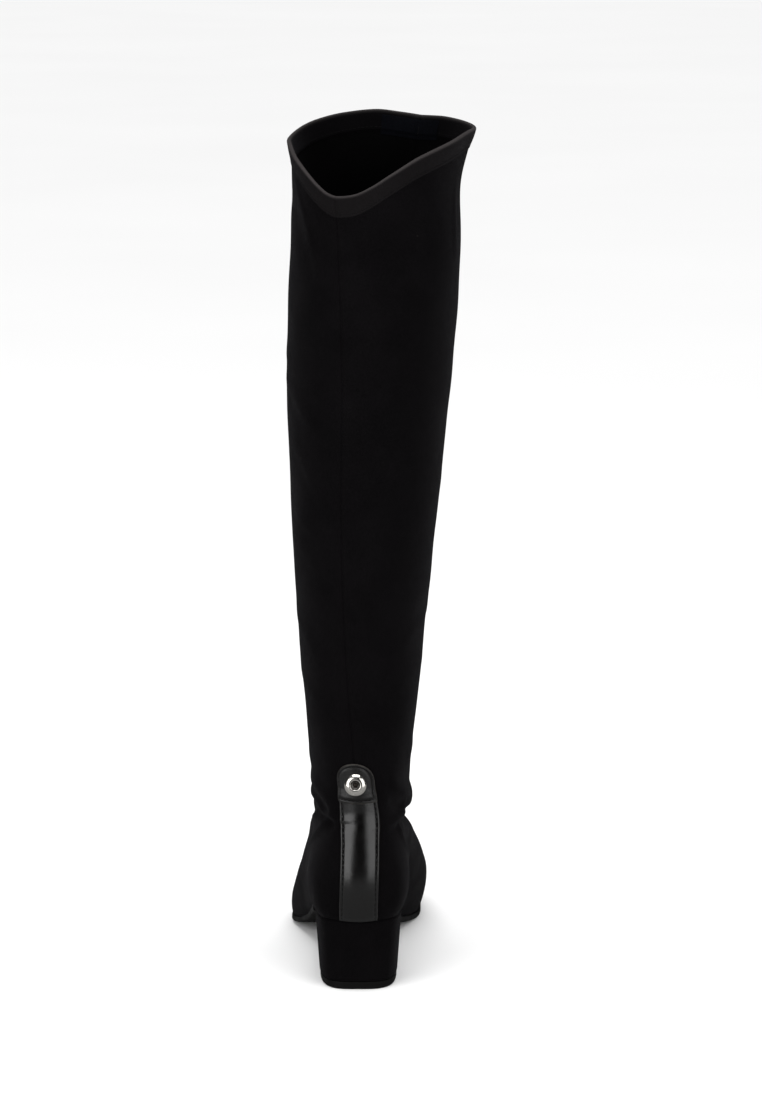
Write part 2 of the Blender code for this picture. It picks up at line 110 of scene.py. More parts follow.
# Plan of the sole edge: where along the length, shares of the seat's and the ball's width, and the
# middle line's shift towards the inner side as a share of the toe's.
PLAN_ROWS = (
    (0.04, 0.76, 0.00, 0.00),
    (0.10, 0.95, 0.00, 0.00),
    (0.18, 1.00, 0.00, 0.00),
    (0.30, 0.94, 0.02, -0.30),
    (0.42, 0.55, 0.27, -0.68),
    (0.52, 0.20, 0.60, -0.72),
    (0.62, 0.00, 0.90, -0.62),
    (0.70, 0.00, 0.97, -0.20),
    (0.80, 0.00, 0.915, 0.28),
    (0.90, 0.00, 0.74, 0.82),
    (0.96, 0.00, 0.52, 0.95),
)
FULLNESS = Profile(*(_fullness(*row[:3]) for row in PLAN_ROWS))
SHIFT = Profile(*((row[0], row[3]) for row in PLAN_ROWS))

# Side profile of the sole edge: share of the heel's rise, and of the toe spring.
RISE = Profile(
    (0.00, 1.00, 0.00),
    (0.12, 0.97, 0.00),
    (0.24, 0.87, 0.00),
    (0.36, 0.62, 0.00),
    (0.48, 0.30, 0.00),
    (0.57, 0.11, 0.00),
    (0.64, 0.03, 0.00),
    (0.70, 0.00, 0.00),
    (0.78, 0.00, 0.00),
    (0.88, 0.00, 0.25),
    (1.00, 0.00, 1.00),
)

# How each side of the foot rises to the ankle, from the back, 0, to the toe, 1: lower pull up and
# outwards, and upper pull down, as shares of the height.
OUTER_SWELL = Profile(
    (0.00, 0.40, 0.14, 0.20),
    (0.20, 0.40, 0.19, 0.32),
    (0.40, 0.36, 0.11, 0.34),
    (0.60, 0.16, 0.05, 0.50),
    (0.75, 0.18, 0.06, 0.56),
    (0.90, 0.32, 0.06, 0.60),
    (1.00, 0.36, 0.06, 0.66),
)
INNER_SWELL = Profile(
    (0.00, 0.40, 0.14, 0.20),
    (0.20, 0.40, 0.18, 0.32),
    (0.40, 0.36, 0.08, 0.34),
    (0.60, 0.34, 0.135, 0.46),
    (0.75, 0.34, 0.11, 0.54),
    (0.90, 0.34, 0.06, 0.60),
    (1.00, 0.36, 0.06, 0.66),
)

# The shaft from the ankle, 0, to the collar, 1: width, depth, place of its back, lean and turn.
SHAFT = Profile(
    (0.00, 0.00, 0.00, 0.00, 0.12, 0.05),
    (0.05, 0.07, -0.30, 0.00, 0.13, 0.17),
    (0.12, 0.21, -0.28, 0.04, 0.15, 0.29),
    (0.23, 0.40, 0.00, 0.22, 0.20, 0.46),
    (0.44, 0.70, 0.55, 0.62, 0.34, 0.60),
    (0.64, 0.95, 0.92, 0.92, 0.57, 0.66),
    (0.80, 1.00, 1.00, 1.00, 0.79, 0.78),
    (0.91, 0.92, 1.00, 1.00, 0.87, 0.88),
    (0.96, 0.97, 1.02, 1.00, 0.95, 0.95),
    (1.00, 1.15, 1.10, 1.05, 1.00, 1.00),
)

# Drop of the collar from its front, from the back, 0, to the front, 1: outer side, inner side.
COLLAR = Profile(
    (0.00, 0.985, 0.985),
    (0.03, 0.95, 0.98),
    (0.07, 0.86, 0.955),
    (0.13, 0.70, 0.85),
    (0.20, 0.52, 0.68),
    (0.31, 0.32, 0.45),
    (0.42, 0.265, 0.31),
    (0.60, 0.105, 0.17),
    (0.72, 0.03, 0.13),
    (0.83, 0.00, 0.10),
    (0.92, 0.04, 0.08),
    (1.00, 0.08, 0.08),
)

# Main folds: turn, level, reach round and up the leg, slope, and height as a share of the wall.
FOLDS = (
    (0.22, 0.910, 0.13, 0.040, 0.10, 1.4),
    (0.22, 0.815, 0.12, 0.036, -0.20, -1.5),
    (0.78, 0.845, 0.12, 0.048, -0.25, 1.6),
    (0.76, 0.730, 0.12, 0.060, 0.25, -2.8),
    (0.50, 0.930, 0.14, 0.060, 0.00, -1.6),
    (0.66, 2.000, 0.05, 0.060, 0.00, 1.8),
    (0.30, 1.970, 0.08, 0.050, 0.00, 1.2),
)


def mix(a: Array, b: Array, t: Array) -> Array:
    """a where t is 0 and b where it is 1."""
    return a + (b - a) * t


def ease(t: Array) -> Array:
    """0 below 0 and 1 above 1, with a soft step between."""
    t = np.clip(t, 0.0, 1.0)
    return t * t * (3 - 2 * t)


def bell(distance: Array, reach: float) -> Array:
    """1 at no distance, and next to nothing from twice the reach on."""
    return np.exp(-((distance / reach) ** 2))


def unit(vectors: Array) -> Array:
    """The vectors at length 1."""
    return vectors / np.maximum(np.linalg.norm(vectors, axis=-1, keepdims=True), 1e-12)


def wrapped(turn: Array) -> Array:
    """The same turn between -0.5 and 0.5."""
    return (turn + 0.5) % 1.0 - 0.5


@dataclass(frozen=True)
class Last:
    """The boot's main form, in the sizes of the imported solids."""

    length: float = 252 * MM
    ball_width: float = 79 * MM
    seat_width: float = 51 * MM
    seat_height: float = 42 * MM
    heel_setback: float = 31 * MM
    toe_spring: float = 8 * MM
    toe_shift: float = 6 * MM
    ankle_width: float = 57 * MM
    ankle_depth: float = 97 * MM
    ankle_back_height: float = 106 * MM
    ankle_front_height: float = 130 * MM
    back_tuck: float = 5 * MM
    front_height: float = 504 * MM
    collar_dip: float = 41 * MM
    calf_width: float = 96 * MM
    calf_depth: float = 122 * MM
    calf_overhang: float = 8 * MM
    shaft_lean: float = 12.5 * MM
    shaft_turn: float = math.radians(24)
    sole_thick: float = 3.5 * MM
    wall: float = 1.6 * MM
    gap: float = 0.3 * MM

    def plan(self, turn: Array, grow: Array | float = 0.0) -> Array:
        """Points of the sole edge's plan.

        Args:
            turn: places round the edge.
            grow: how far outwards they are moved.

        Returns:
            Points at height 0.
        """
        angle = 2 * math.pi * turn
        along = (1 - np.cos(angle)) / 2
        width = self.seat_width * FULLNESS.read(0, along)
        width = width + self.ball_width * FULLNESS.read(1, along)
        x = self.toe_shift * SHIFT.read(0, along) - width / 2 * np.sin(angle)
        points = np.stack([x, self.length * along - self.heel_setback, 0 * x], -1)
        if np.any(grow):
            tangent = self.plan(turn + 1e-4) - self.plan(turn - 1e-4)
            outwards = unit(np.stack([-tangent[..., 1], tangent[..., 0], 0 * x], -1))
            points = points + outwards * np.asarray(grow)[..., None]
        return points

    def edge_height(self, y: Array) -> Array:
        """Height of the sole's top face above the floor, at y."""
        along = np.clip((y + self.heel_setback) / self.length, 0.0, 1.0)
        heel_rise = (self.seat_height - self.sole_thick) * RISE.read(0, along)
        return self.sole_thick + heel_rise + self.toe_spring * RISE.read(1, along)

    def shaft(self, turn: Array, up: Array) -> Array:
        """Points of the shaft, from the ankle, 0, to the collar, 1."""
        turn, up = np.broadcast_arrays(turn, up)
        angle = 2 * math.pi * turn
        wide = mix(self.ankle_width, self.calf_width, SHAFT.read(0, up)) / 2
        deep = mix(self.ankle_depth, self.calf_depth, SHAFT.read(1, up)) / 2
        back = mix(self.back_tuck, -self.calf_overhang, SHAFT.read(2, up)) - self.heel_setback
        spin = self.shaft_turn * SHAFT.read(4, up)
        x, y = -wide * np.sin(angle), -deep * np.cos(angle)
        low = mix(self.ankle_back_height, self.ankle_front_height, (1 - np.cos(angle)) / 2)
        way = 1 - np.abs(2 * (turn % 1.0) - 1)
        outer = (turn % 1.0) < 0.5
        dip = np.where(outer, COLLAR.read(0, way), COLLAR.read(1, way))
        return np.stack(
            [
                self.shaft_lean * SHAFT.read(3, up) + x * np.cos(spin) + y * np.sin(spin),
                back + deep - x * np.sin(spin) + y * np.cos(spin),
                mix(low, self.front_height - self.collar_dip * dip, up),
            ],
            -1,
        )

    def foot(self, turn: Array, level: Array) -> Array:
        """Points of the foot, on curves from the sole edge, 0, to the ankle, 1."""
        turn, level = np.broadcast_arrays(turn, level)
        low = self.plan(turn)
        low[..., 2] = self.edge_height(low[..., 1]) + self.gap
        high = self.shaft(turn, np.zeros_like(turn))
        height = (high - low)[..., 2:]
        way = 1 - np.abs(2 * (turn % 1.0) - 1)
        outer = (turn % 1.0) < 0.5
        rise, flare, drop = (
            np.where(outer, OUTER_SWELL.read(i, way), INNER_SWELL.read(i, way))[..., None] * height
            for i in range(3)
        )
        outwards = self.plan(turn, 1.0) - self.plan(turn)
        upwards = unit(self.shaft(turn, np.full_like(turn, 0.02)) - high)
        first = low + np.array([0.0, 0.0, 1.0]) * rise + outwards * flare
        second = high - upwards * drop
        t = level[..., None]
        return (
            low * (1 - t) ** 3
            + first * (3 * t * (1 - t) ** 2)
            + second * (3 * t * t * (1 - t))
            + high * t**3
        )

    def bare(self, turn: Array, level: Array) -> Array:
        """Points of the upper without its folds."""
        turn, level = np.broadcast_arrays(turn, level)
        low = self.foot(turn, np.minimum(level, 1.0))
        high = self.shaft(turn, np.maximum(level - 1, 0.0))
        return np.where((level < 1)[..., None], low, high)

    def face(self, turn: Array, level: Array) -> tuple[Array, Array, Array]:
        """The bare face's points, outward normals, and length of one turn at each place."""
        step = 2e-3
        round_it = self.bare(turn + step, level) - self.bare(turn - step, level)
        up_it = self.bare(turn, np.minimum(level + step, 2)) - self.bare(
            turn, np.maximum(level - step, 0)
        )
        spread = np.linalg.norm(round_it, axis=-1) / (2 * step)
        return self.bare(turn, level), unit(np.cross(up_it, round_it)), spread

    def main_folds(self, turn: Array, level: Array) -> Array:
        """How far the main folds lift the cloth."""
        total = 0.0
        for around, height, spread, reach, slope, lift in FOLDS:
            across = wrapped(turn - around)
            above = level - height - slope * across
            total = total + lift * bell(across, spread) * bell(above, reach)
        return self.wall * total


# ---------------------------------------------------------------------------------------------
# Small relief of the cloth
# ---------------------------------------------------------------------------------------------


@dataclass(frozen=True)
class Crease:
    """A line along which the cloth stands up, or dips where its lift is below zero.

    path holds turns, and heights in millimetres. reach is the crease's half width and lift its
    height, both in millimetres. skew is how much wider the flank above it is than the one below.
    """

    path: tuple[tuple[float, float], ...]
    reach: float
    lift: float
    skew: float = 0.0

    def height(self, turn: Array, z: Array, spread: Array) -> Array:
        """Height of the crease over the cloth.

        Args:
            turn: turns of the places.
            z: their heights.
            spread: length of one turn there.

        Returns:
            Heights in metres.
        """
        nearest = np.full(np.shape(z), np.inf)
        share, side = np.zeros(np.shape(z)), np.ones(np.shape(z))
        count = len(self.path) - 1
        for i, (start, end) in enumerate(zip(self.path, self.path[1:])):
            rise = 0 * z + (end[1] - start[1]) * MM
            run = np.stack([wrapped(end[0] - start[0]) * spread, rise], -1)
            to = np.stack([wrapped(turn - start[0]) * spread, z - start[1] * MM], -1)
            t = np.clip((to * run).sum(-1) / (run * run).sum(-1), 0, 1)
            away = to - run * t[..., None]
            distance = np.linalg.norm(away, axis=-1)
            closer = distance < nearest
            nearest = np.where(closer, distance, nearest)
            share = np.where(closer, (i + t) / count, share)
            side = np.where(closer, np.sign(away[..., 1]), side)
        taper = np.sqrt(np.clip(4 * share * (1 - share), 0, 1))
        return self.lift * MM * taper * bell(nearest, self.reach * MM * (1 + self.skew * side))


CREASES = (
    # slack cloth of the shaft, outer side
    Crease(((0.120, 470), (0.075, 447), (0.045, 420), (0.030, 398)), 3.4, 0.75, -0.35),
    Crease(((0.190, 462), (0.130, 452), (0.085, 436)), 7.0, -0.9),
    Crease(((0.200, 372), (0.140, 364), (0.060, 357), (0.030, 356)), 5.5, 0.65, 0.3),
    Crease(((0.190, 356), (0.130, 346), (0.076, 334), (0.050, 326)), 5.0, 0.60, 0.3),
    Crease(((0.180, 350), (0.130, 340), (0.090, 328)), 6.0, -0.55),
    Crease(((0.140, 322), (0.100, 311), (0.036, 288), (0.020, 276)), 5.0, 0.55, 0.3),
    Crease(((0.150, 284), (0.108, 275), (0.032, 264)), 5.0, 0.45, 0.3),
    Crease(((0.130, 262), (0.084, 253), (0.036, 234)), 4.6, 0.42, 0.3),
    Crease(((0.230, 222), (0.156, 212), (0.090, 199)), 5.0, 0.50, 0.2),
    Crease(((0.220, 186), (0.144, 176), (0.085, 166)), 4.6, 0.50, 0.2),
    # slack cloth of the shaft, inner side
    Crease(((-0.200, 452), (-0.112, 435), (-0.050, 420)), 13.0, -0.9),
    Crease(((-0.262, 468), (-0.258, 446), (-0.250, 424)), 3.2, 0.7),
    Crease(((-0.320, 222), (-0.224, 213), (-0.150, 206)), 4.4, 0.45, 0.2),
    Crease(((-0.270, 190), (-0.156, 180), (-0.090, 172)), 4.4, 0.45, 0.2),
    Crease(((-0.330, 300), (-0.240, 286), (-0.170, 280)), 7.0, 0.40),
    # ankle, outer side
    Crease(((0.340, 122), (0.235, 117), (0.160, 117), (0.116, 112), (0.074, 101)), 4.2, 1.7, 0.2),
    Crease(((0.320, 102), (0.235, 103), (0.150, 106), (0.110, 101), (0.080, 93)), 3.2, -1.5),
    Crease(((0.072, 111), (0.110, 100), (0.135, 92), (0.175, 79), (0.210, 66)), 3.6, 1.25),
    Crease(((0.340, 95), (0.240, 92), (0.180, 95)), 4.2, 0.7),
    Crease(((0.380, 146), (0.280, 136), (0.190, 128)), 5.0, 0.6),
    # ankle, inner side
    Crease(((-0.340, 112), (-0.225, 106), (-0.154, 114), (-0.110, 121)), 3.8, 1.9, 0.3),
    Crease(((-0.330, 91), (-0.225, 94), (-0.173, 102), (-0.100, 111)), 3.6, -1.6),
    Crease(((-0.190, 107), (-0.160, 98), (-0.130, 87), (-0.150, 73), (-0.190, 60)), 3.0, 1.0),
    Crease(((-0.370, 150), (-0.280, 138), (-0.190, 134)), 5.0, 0.6),
    # over the instep
    Crease(((0.410, 116), (0.500, 122), (0.590, 116)), 5.0, -0.9),
    Crease(((0.400, 104), (0.500, 108), (0.600, 103)), 5.5, 0.8),
    Crease(((0.420, 92), (0.500, 94), (0.580, 92)), 5.0, -0.5),
    # where the foot bends
    Crease(((0.300, 30), (0.345, 44), (0.400, 56)), 5.0, 0.35),
    Crease(((-0.300, 26), (-0.350, 42), (-0.400, 54)), 5.0, 0.35),
)

# Waves of the cloth's unevenness: direction times waves per metre, and phase.
WAVES = (
    ((9.0, 14.0, 6.0), 0.3),
    ((-17.0, 5.0, 9.0), 1.9),
    ((6.0, -11.0, 15.0), 4.1),
    ((21.0, 9.0, -12.0), 2.6),
    ((-13.0, 24.0, 19.0), 5.2),
    ((27.0, -18.0, 23.0), 0.9),
)


class Wall(Enum):
    """Which face of the upper's wall a place lies on."""

    OUTER = "outer"
    INNER = "inner"


@dataclass(frozen=True)
class Skin:
    """The upper's cloth: the last's form with creases, seams and the hem's step."""

    last: Last = Last()
    hem_depth: float = 12 * MM
    hem_wall: float = 2.6 * MM
    hem_out: float = 0.4
    seam_depth: float = 0.55 * MM
    seam_reach: float = 0.5 * MM
    allowance_out: float = 2.4 * MM
    allowance_lift: float = 0.22 * MM
    unevenness: float = 0.11 * MM
    allowance_reach: float = 1.5 * MM
    inner_allowance: float = 0.5 * MM
    inner_seam: float = 0.25 * MM
    counter_height: float = 88 * MM
    counter_drop: float = 150 * MM
    counter_lift: float = 0.45 * MM
    counter_edge: float = 5 * MM
    counter_back: float = 0.10
    counter_end: float = 0.30
    hem_edge: float = 0.8 * MM
    hem_stitching: float = 10.4 * MM
    hem_middle: float = 5.6 * MM
    hem_swell: float = 0.16 * MM

    def shaft_height(self, turn: Array) -> Array:
        """Height of the shaft above the ankle, from its ring to the rim."""
        top = self.last.shaft(turn, np.ones_like(turn))
        return (top - self.last.shaft(turn, np.zeros_like(turn)))[..., 2]

    def level_below(self, turn: Array, below: Array) -> Array:
        """The level that lies this far below the rim."""
        return 2 - below / self.shaft_height(turn)

    def hem_share(self, turn: Array, level: Array) -> Array:
        """1 in the turned hem and 0 under it."""
        below = (2 - level) * self.shaft_height(turn)
        return ease((self.hem_depth - below) / self.hem_edge + 0.5) * (level > 1.5)

    def creases(self, turn: Array, z: Array, spread: Array) -> Array:
        """Height of all creases together."""
        total = 0.0
        for crease in CREASES:
            total = total + crease.height(turn, z, spread)
        return total

    def waves(self, points: Array) -> Array:
        """The cloth's slight unevenness."""
        total = 0.0
        for direction, phase in WAVES:
            total = total + np.sin(2 * math.pi * (points @ np.array(direction)) + phase)
        return self.unevenness * total

    def seams(self, turn: Array, spread: Array, wall: Wall) -> Array:
        """Groove of the back and front seams outside, or their allowances inside."""
        total = 0.0
        for seam in (0.0, 0.5):
            away = np.abs(wrapped(turn - seam)) * spread
            allowance = bell(away - self.allowance_out, self.allowance_reach)
            if wall is Wall.OUTER:
                total = total + self.allowance_lift * allowance
                total = total - self.seam_depth * bell(away, self.seam_reach)
            else:
                total = total - self.inner_allowance * allowance
                total = total + self.inner_seam * bell(away, self.seam_reach)
        return total

    def counter(self, turn: Array, z: Array) -> Array:
        """Step over the stiff counter that holds the heel's form."""
        side = np.abs(wrapped(turn))
        top = self.counter_height - self.counter_drop * np.maximum(side - self.counter_back, 0)
        fade = ease((self.counter_end - side) / 0.05)
        return self.counter_lift * ease((top - z) / self.counter_edge) * fade

    def hem_relief(self, turn: Array, level: Array) -> Array:
        """Step, stitched channel and soft swell of the turned hem, outside."""
        below = (2 - level) * self.shaft_height(turn)
        share = self.hem_share(turn, level)
        swell = self.hem_swell * bell(below - self.hem_middle, 3.4 * MM)
        channel = self.hem_swell * bell(below - self.hem_stitching, 0.7 * MM)
        return share * ((self.hem_wall - self.last.wall) * self.hem_out + swell - channel)

    def place(
        self, turn: Array, level: Array, out: Array | float = 0.0, wall: Wall = Wall.OUTER
    ) -> Array:
        """Points over the cloth.

        Args:
            turn: places round the leg.
            level: places up the leg.
            out: distance out from the face.
            wall: which face it is measured from.

        Returns:
            Points in metres.
        """
        turn, level = np.broadcast_arrays(turn, level)
        points, normals, spread = self.last.face(turn, level)
        z = points[..., 2]
        lift = self.last.main_folds(turn, level) + self.creases(turn, z, spread)
        lift = lift + self.waves(points) * ease(level / 0.3)
        seams = self.seams(turn, spread, wall) * ease(level / 0.06)
        if wall is Wall.OUTER:
            lift = lift + seams + self.counter(turn, z) + self.hem_relief(turn, level)
        else:
            extra = (self.hem_wall - self.last.wall) * (1 - self.hem_out)
            lift = lift + seams - self.last.wall - extra * self.hem_share(turn, level)
        moved = points + normals * (lift * ease(level / 0.05) + np.asarray(out))[..., None]
        if wall is Wall.INNER:
            edge = points - normals * self.last.wall
            low = mix(edge, moved, ease(level / 0.05)[..., None])
            moved = np.where((level < 0.05)[..., None], low, moved)
        return moved


class BackSurface:
    """Places beside the back seam, by distance across it and height above the floor."""

    def __init__(self, skin: Skin) -> None:
        """Measures the outer face of a cloth once."""
        self.skin = skin
        self.levels = np.linspace(0.0, 1.25, 260)
        self.turns = np.linspace(-0.1, 0.1, 121)
        grid = skin.last.bare(self.turns[None, :], self.levels[:, None])
        steps = np.linalg.norm(np.diff(grid, axis=1), axis=-1)
        lengths = np.concatenate([np.zeros((len(self.levels), 1)), np.cumsum(steps, 1)], 1)
        self.lengths = lengths - lengths[:, len(self.turns) // 2, None]
        self.heights = grid[:, len(self.turns) // 2, 2]

    def point(self, across: Array, height: Array, out: Array | float) -> Array:
        """Points over the outer face.

        Args:
            across: distance from the back seam, growing towards the inner side.
            height: height above the floor, measured at the seam.
            out: distance out from the cloth.

        Returns:
            Points in metres.
        """
        across, height, out = np.broadcast_arrays(across, height, out)
        level = np.interp(height, self.heights, self.levels)
        row = np.interp(level, self.levels, np.arange(len(self.levels)))
        turn = np.empty(across.shape)
        for spot in np.ndindex(across.shape):
            low = min(int(row[spot]), len(self.levels) - 2)
            lengths = mix(self.lengths[low], self.lengths[low + 1], row[spot] - low)
            turn[spot] = np.interp(-across[spot], lengths, self.turns)
        return Smooth(self.skin).place(turn, level, out)


@dataclass(frozen=True)
class Smooth:
    """The cloth's outer face without seams, for what is laid over them."""

    skin: Skin

    def place(self, turn: Array, level: Array, out: Array | float) -> Array:
        """Points over the cloth, where no seam dents it."""
        last = self.skin.last
        points, normals, spread = last.face(turn, level)
        lift = last.main_folds(turn, level) + self.skin.creases(turn, points[..., 2], spread)
        lift = lift + self.skin.counter(turn, points[..., 2])
        lift = lift + self.skin.waves(points) * ease(level / 0.3)
        lift = lift * ease(level / 0.05) + self.skin.allowance_lift
        return points + normals * (lift + out)[..., None]


# ---------------------------------------------------------------------------------------------
# Meshes
# ---------------------------------------------------------------------------------------------


def grid_faces(
    rows: int, columns: int, closed_rows: bool = False, closed_columns: bool = False
) -> Array:
    """Faces of a grid of points.

    Args:
        rows: how many rows the grid has.
        columns: how many columns.
        closed_rows: whether the last row joins the first.
        closed_columns: whether the last column joins the first.

    Returns:
        One row of four indices for each face.
    """
    j, i = np.meshgrid(
        np.arange(rows if closed_rows else rows - 1),
        np.arange(columns if closed_columns else columns - 1),
        indexing="ij",
    )
    j, i = j.ravel(), i.ravel()
    after, beside = (j + 1) % rows, (i + 1) % columns
    low, high = j * columns, after * columns
    return np.stack([low + i, low + beside, high + beside, high + i], 1)


def make_mesh(
    name: str,
    points: Array,
    faces: Sequence[Sequence[int]],
    sharp: float = 60.0,
    merge: bool = True,
) -> bpy.types.Object:
    """A closed mesh whose faces point outwards.

    Args:
        name: the object's name.
        points: its points.
        faces: their indices, face by face.
        sharp: angle in degrees from which an edge stays sharp.
        merge: whether points that coincide are merged.

    Returns:
        The object, linked to the scene.
    """
    mesh = bpy.data.meshes.new(name)
    corners = [list(map(int, face)) for face in faces]
    mesh.from_pydata(np.asarray(points).reshape(-1, 3).tolist(), [], corners)
    if merge:
        shape = bmesh.new()
        shape.from_mesh(mesh)
        bmesh.ops.remove_doubles(shape, verts=shape.verts, dist=1e-6)
        bmesh.ops.dissolve_degenerate(shape, edges=shape.edges, dist=1e-7)
        bmesh.ops.recalc_face_normals(shape, faces=shape.faces)
        shape.to_mesh(mesh)
        shape.free()
    mesh.shade_smooth()
    mesh.set_sharp_from_angle(angle=math.radians(sharp))
    obj = bpy.data.objects.new(name, mesh)
    bpy.context.scene.collection.objects.link(obj)
    return obj


def add_plate(above: Array, below: Array) -> tuple[Array, Array]:
    """Points and faces of a closed plate between two grids of as many points."""
    rows, columns = above.shape[:2]
    count = rows * columns
    faces = grid_faces(rows, columns)
    ring = np.concatenate(
        [
            np.arange(columns),
            np.arange(1, rows) * columns + columns - 1,
            (rows - 1) * columns + np.arange(columns - 2, -1, -1),
            np.arange(rows - 2, 0, -1) * columns,
        ]
    )
    following = np.roll(ring, -1)
    rim = np.stack([ring, following, following + count, ring + count], 1)
    points = np.concatenate([above.reshape(-1, 3), below.reshape(-1, 3)])
    return points, np.concatenate([faces, faces[:, ::-1] + count, rim])


def add_stack(rings: Array, across: int) -> tuple[Array, Array]:
    """Points and faces of a closed solid from rings that run along one side and back the other.

    Args:
        rings: rings of as many points, from top to bottom.
        across: how many faces each cap has from side to side.

    Returns:
        Points and faces; the caps' and the sides' edges coincide.
    """
    share = np.linspace(0, 1, across + 1)[None, :, None]
    half = rings.shape[1] // 2
    grids = []
    for ring in rings:
        left, right = ring[:half], ring[half:][::-1]
        grids.append(left[:, None] * (1 - share) + right[:, None] * share)
    loops = [
        np.concatenate([g[:, 0], g[-1, 1:-1], g[::-1, -1], g[0, -2:0:-1]]) for g in grids
    ]
    sides = np.stack(loops)
    points, faces = [sides.reshape(-1, 3)], [grid_faces(*sides.shape[:2], closed_columns=True)]
    base = sides.shape[0] * sides.shape[1]
    for grid in (grids[0], grids[-1]):
        points.append(grid.reshape(-1, 3))
        faces.append(grid_faces(*grid.shape[:2]) + base)
        base += grid.shape[0] * grid.shape[1]
    return np.concatenate(points), np.concatenate(faces)


def set_uv(obj: bpy.types.Object, name: str, corners: Array) -> None:
    """Stores a UV map, in metres, given for each corner of each face."""
    layer = obj.data.uv_layers.new(name=name)
    layer.data.foreach_set("uv", np.asarray(corners, np.float32).ravel())


def set_point_value(obj: bpy.types.Object, name: str, values: Array) -> None:
    """Stores a number for each point, which materials read by name."""
    attribute = obj.data.attributes.new(name, "FLOAT", "POINT")
    attribute.data.foreach_set("value", np.asarray(values, np.float32).ravel())


def mesh_points(obj: bpy.types.Object) -> Array:
    """The object's points."""
    points = np.empty(len(obj.data.vertices) * 3, np.float32)
    obj.data.vertices.foreach_get("co", points)
    return points.reshape(-1, 3).astype(float)


def corner_points(obj: bpy.types.Object) -> Array:
    """The point at each corner of each face."""
    return mesh_points(obj)[[v for face in obj.data.polygons for v in face.vertices]]


# ---------------------------------------------------------------------------------------------
# Shader groups and finishes
# ---------------------------------------------------------------------------------------------


class Graph:
    """Short hand for building a node tree."""

    def __init__(self, tree: bpy.types.NodeTree) -> None:
        """Keeps the tree that nodes are added to."""
        self.tree = tree

    def node(self, kind: str, inputs: dict | None = None, **settings: object) -> bpy.types.Node:
        """Adds a node.

        Args:
            kind: the node's type.
            inputs: values, or sockets to link, by input name or number.
            settings: the node's own properties.

        Returns:
            The node.
        """
        made = self.tree.nodes.new(kind)
        for name, value in settings.items():
            setattr(made, name, value)
        for key, value in (inputs or {}).items():
            if isinstance(value, bpy.types.NodeSocket):
                self.tree.links.new(value, made.inputs[key])
            else:
                made.inputs[key].default_value = value
        return made

    def math(self, operation: str, *terms: object) -> bpy.types.NodeSocket:
        """Adds a Math node and returns its result."""
        return self.node("ShaderNodeMath", dict(enumerate(terms)), operation=operation).outputs[0]

    def place(self) -> bpy.types.NodeSocket:
        """The place on the object, in metres."""
        return self.node("ShaderNodeTexCoord").outputs["Object"]

    def edge(self) -> bpy.types.NodeSocket:
        """The piece's own edge value."""
        return self.node("ShaderNodeAttribute", attribute_name="edge").outputs["Fac"]

    def link(self, value: bpy.types.NodeSocket, target: bpy.types.NodeSocket) -> None:
        """Links two sockets."""
        self.tree.links.new(value, target)

    def ramp(
        self, value: object, low: float, high: float, first: float, last: float
    ) -> bpy.types.NodeSocket:
        """Maps low..high smoothly to first..last."""
        inputs = {"Value": value, "From Min": low, "From Max": high}
        inputs |= {"To Min": first, "To Max": last}
        return self.node("ShaderNodeMapRange", inputs, interpolation_type="SMOOTHSTEP").outputs[0]


def shader_group(
    name: str, inputs: Sequence[tuple[str, str, object]], outputs: Sequence[tuple[str, str]]
) -> tuple[Graph, bpy.types.Node, bpy.types.Node]:
    """An empty shader group.

    Args:
        name: the group's name.
        inputs: name, socket type and usual value of each input.
        outputs: name and socket type of each output.

    Returns:
        The graph, its input node and its output node.
    """
    tree = bpy.data.node_groups.new(name, "ShaderNodeTree")
    for label, kind, value in inputs:
        socket = tree.interface.new_socket(label, in_out="INPUT", socket_type=kind)
        if value is not None:
            socket.default_value = value
    for label, kind in outputs:
        tree.interface.new_socket(label, in_out="OUTPUT", socket_type=kind)
    graph = Graph(tree)
    return graph, graph.node("NodeGroupInput"), graph.node("NodeGroupOutput")


def knit_group() -> bpy.types.NodeTree:
    """Fine knit: columns of slanted strands that lean to and fro, on a UV map in metres."""
    graph, given, out = shader_group(
        "fine knit",
        [("Vector", "NodeSocketVector", None), ("Pitch", "NodeSocketFloat", 0.0006)],
        [("Height", "NodeSocketFloat")],
    )
    parts = graph.node("ShaderNodeSeparateXYZ", {0: given.outputs["Vector"]})
    x = graph.math("DIVIDE", parts.outputs[0], given.outputs["Pitch"])
    y = graph.math("DIVIDE", parts.outputs[1], given.outputs["Pitch"])
    leg = graph.math("PINGPONG", x, 0.5)
    phase = graph.math("ADD", graph.math("MULTIPLY", y, 1.3), graph.math("MULTIPLY", leg, 1.5))
    strand = graph.math("SINE", graph.math("MULTIPLY", phase, 2 * math.pi))
    middle = graph.math("ABSOLUTE", graph.math("SUBTRACT", leg, 0.25))
    fall = graph.math("MULTIPLY", graph.math("POWER", middle, 2.0), 14.0)
    rounded = graph.math("SUBTRACT", 1.0, fall)
    height = graph.math("MULTIPLY", graph.math("MULTIPLY_ADD", strand, 0.3, 0.7), rounded)
    graph.link(height, out.inputs["Height"])
    return graph.tree


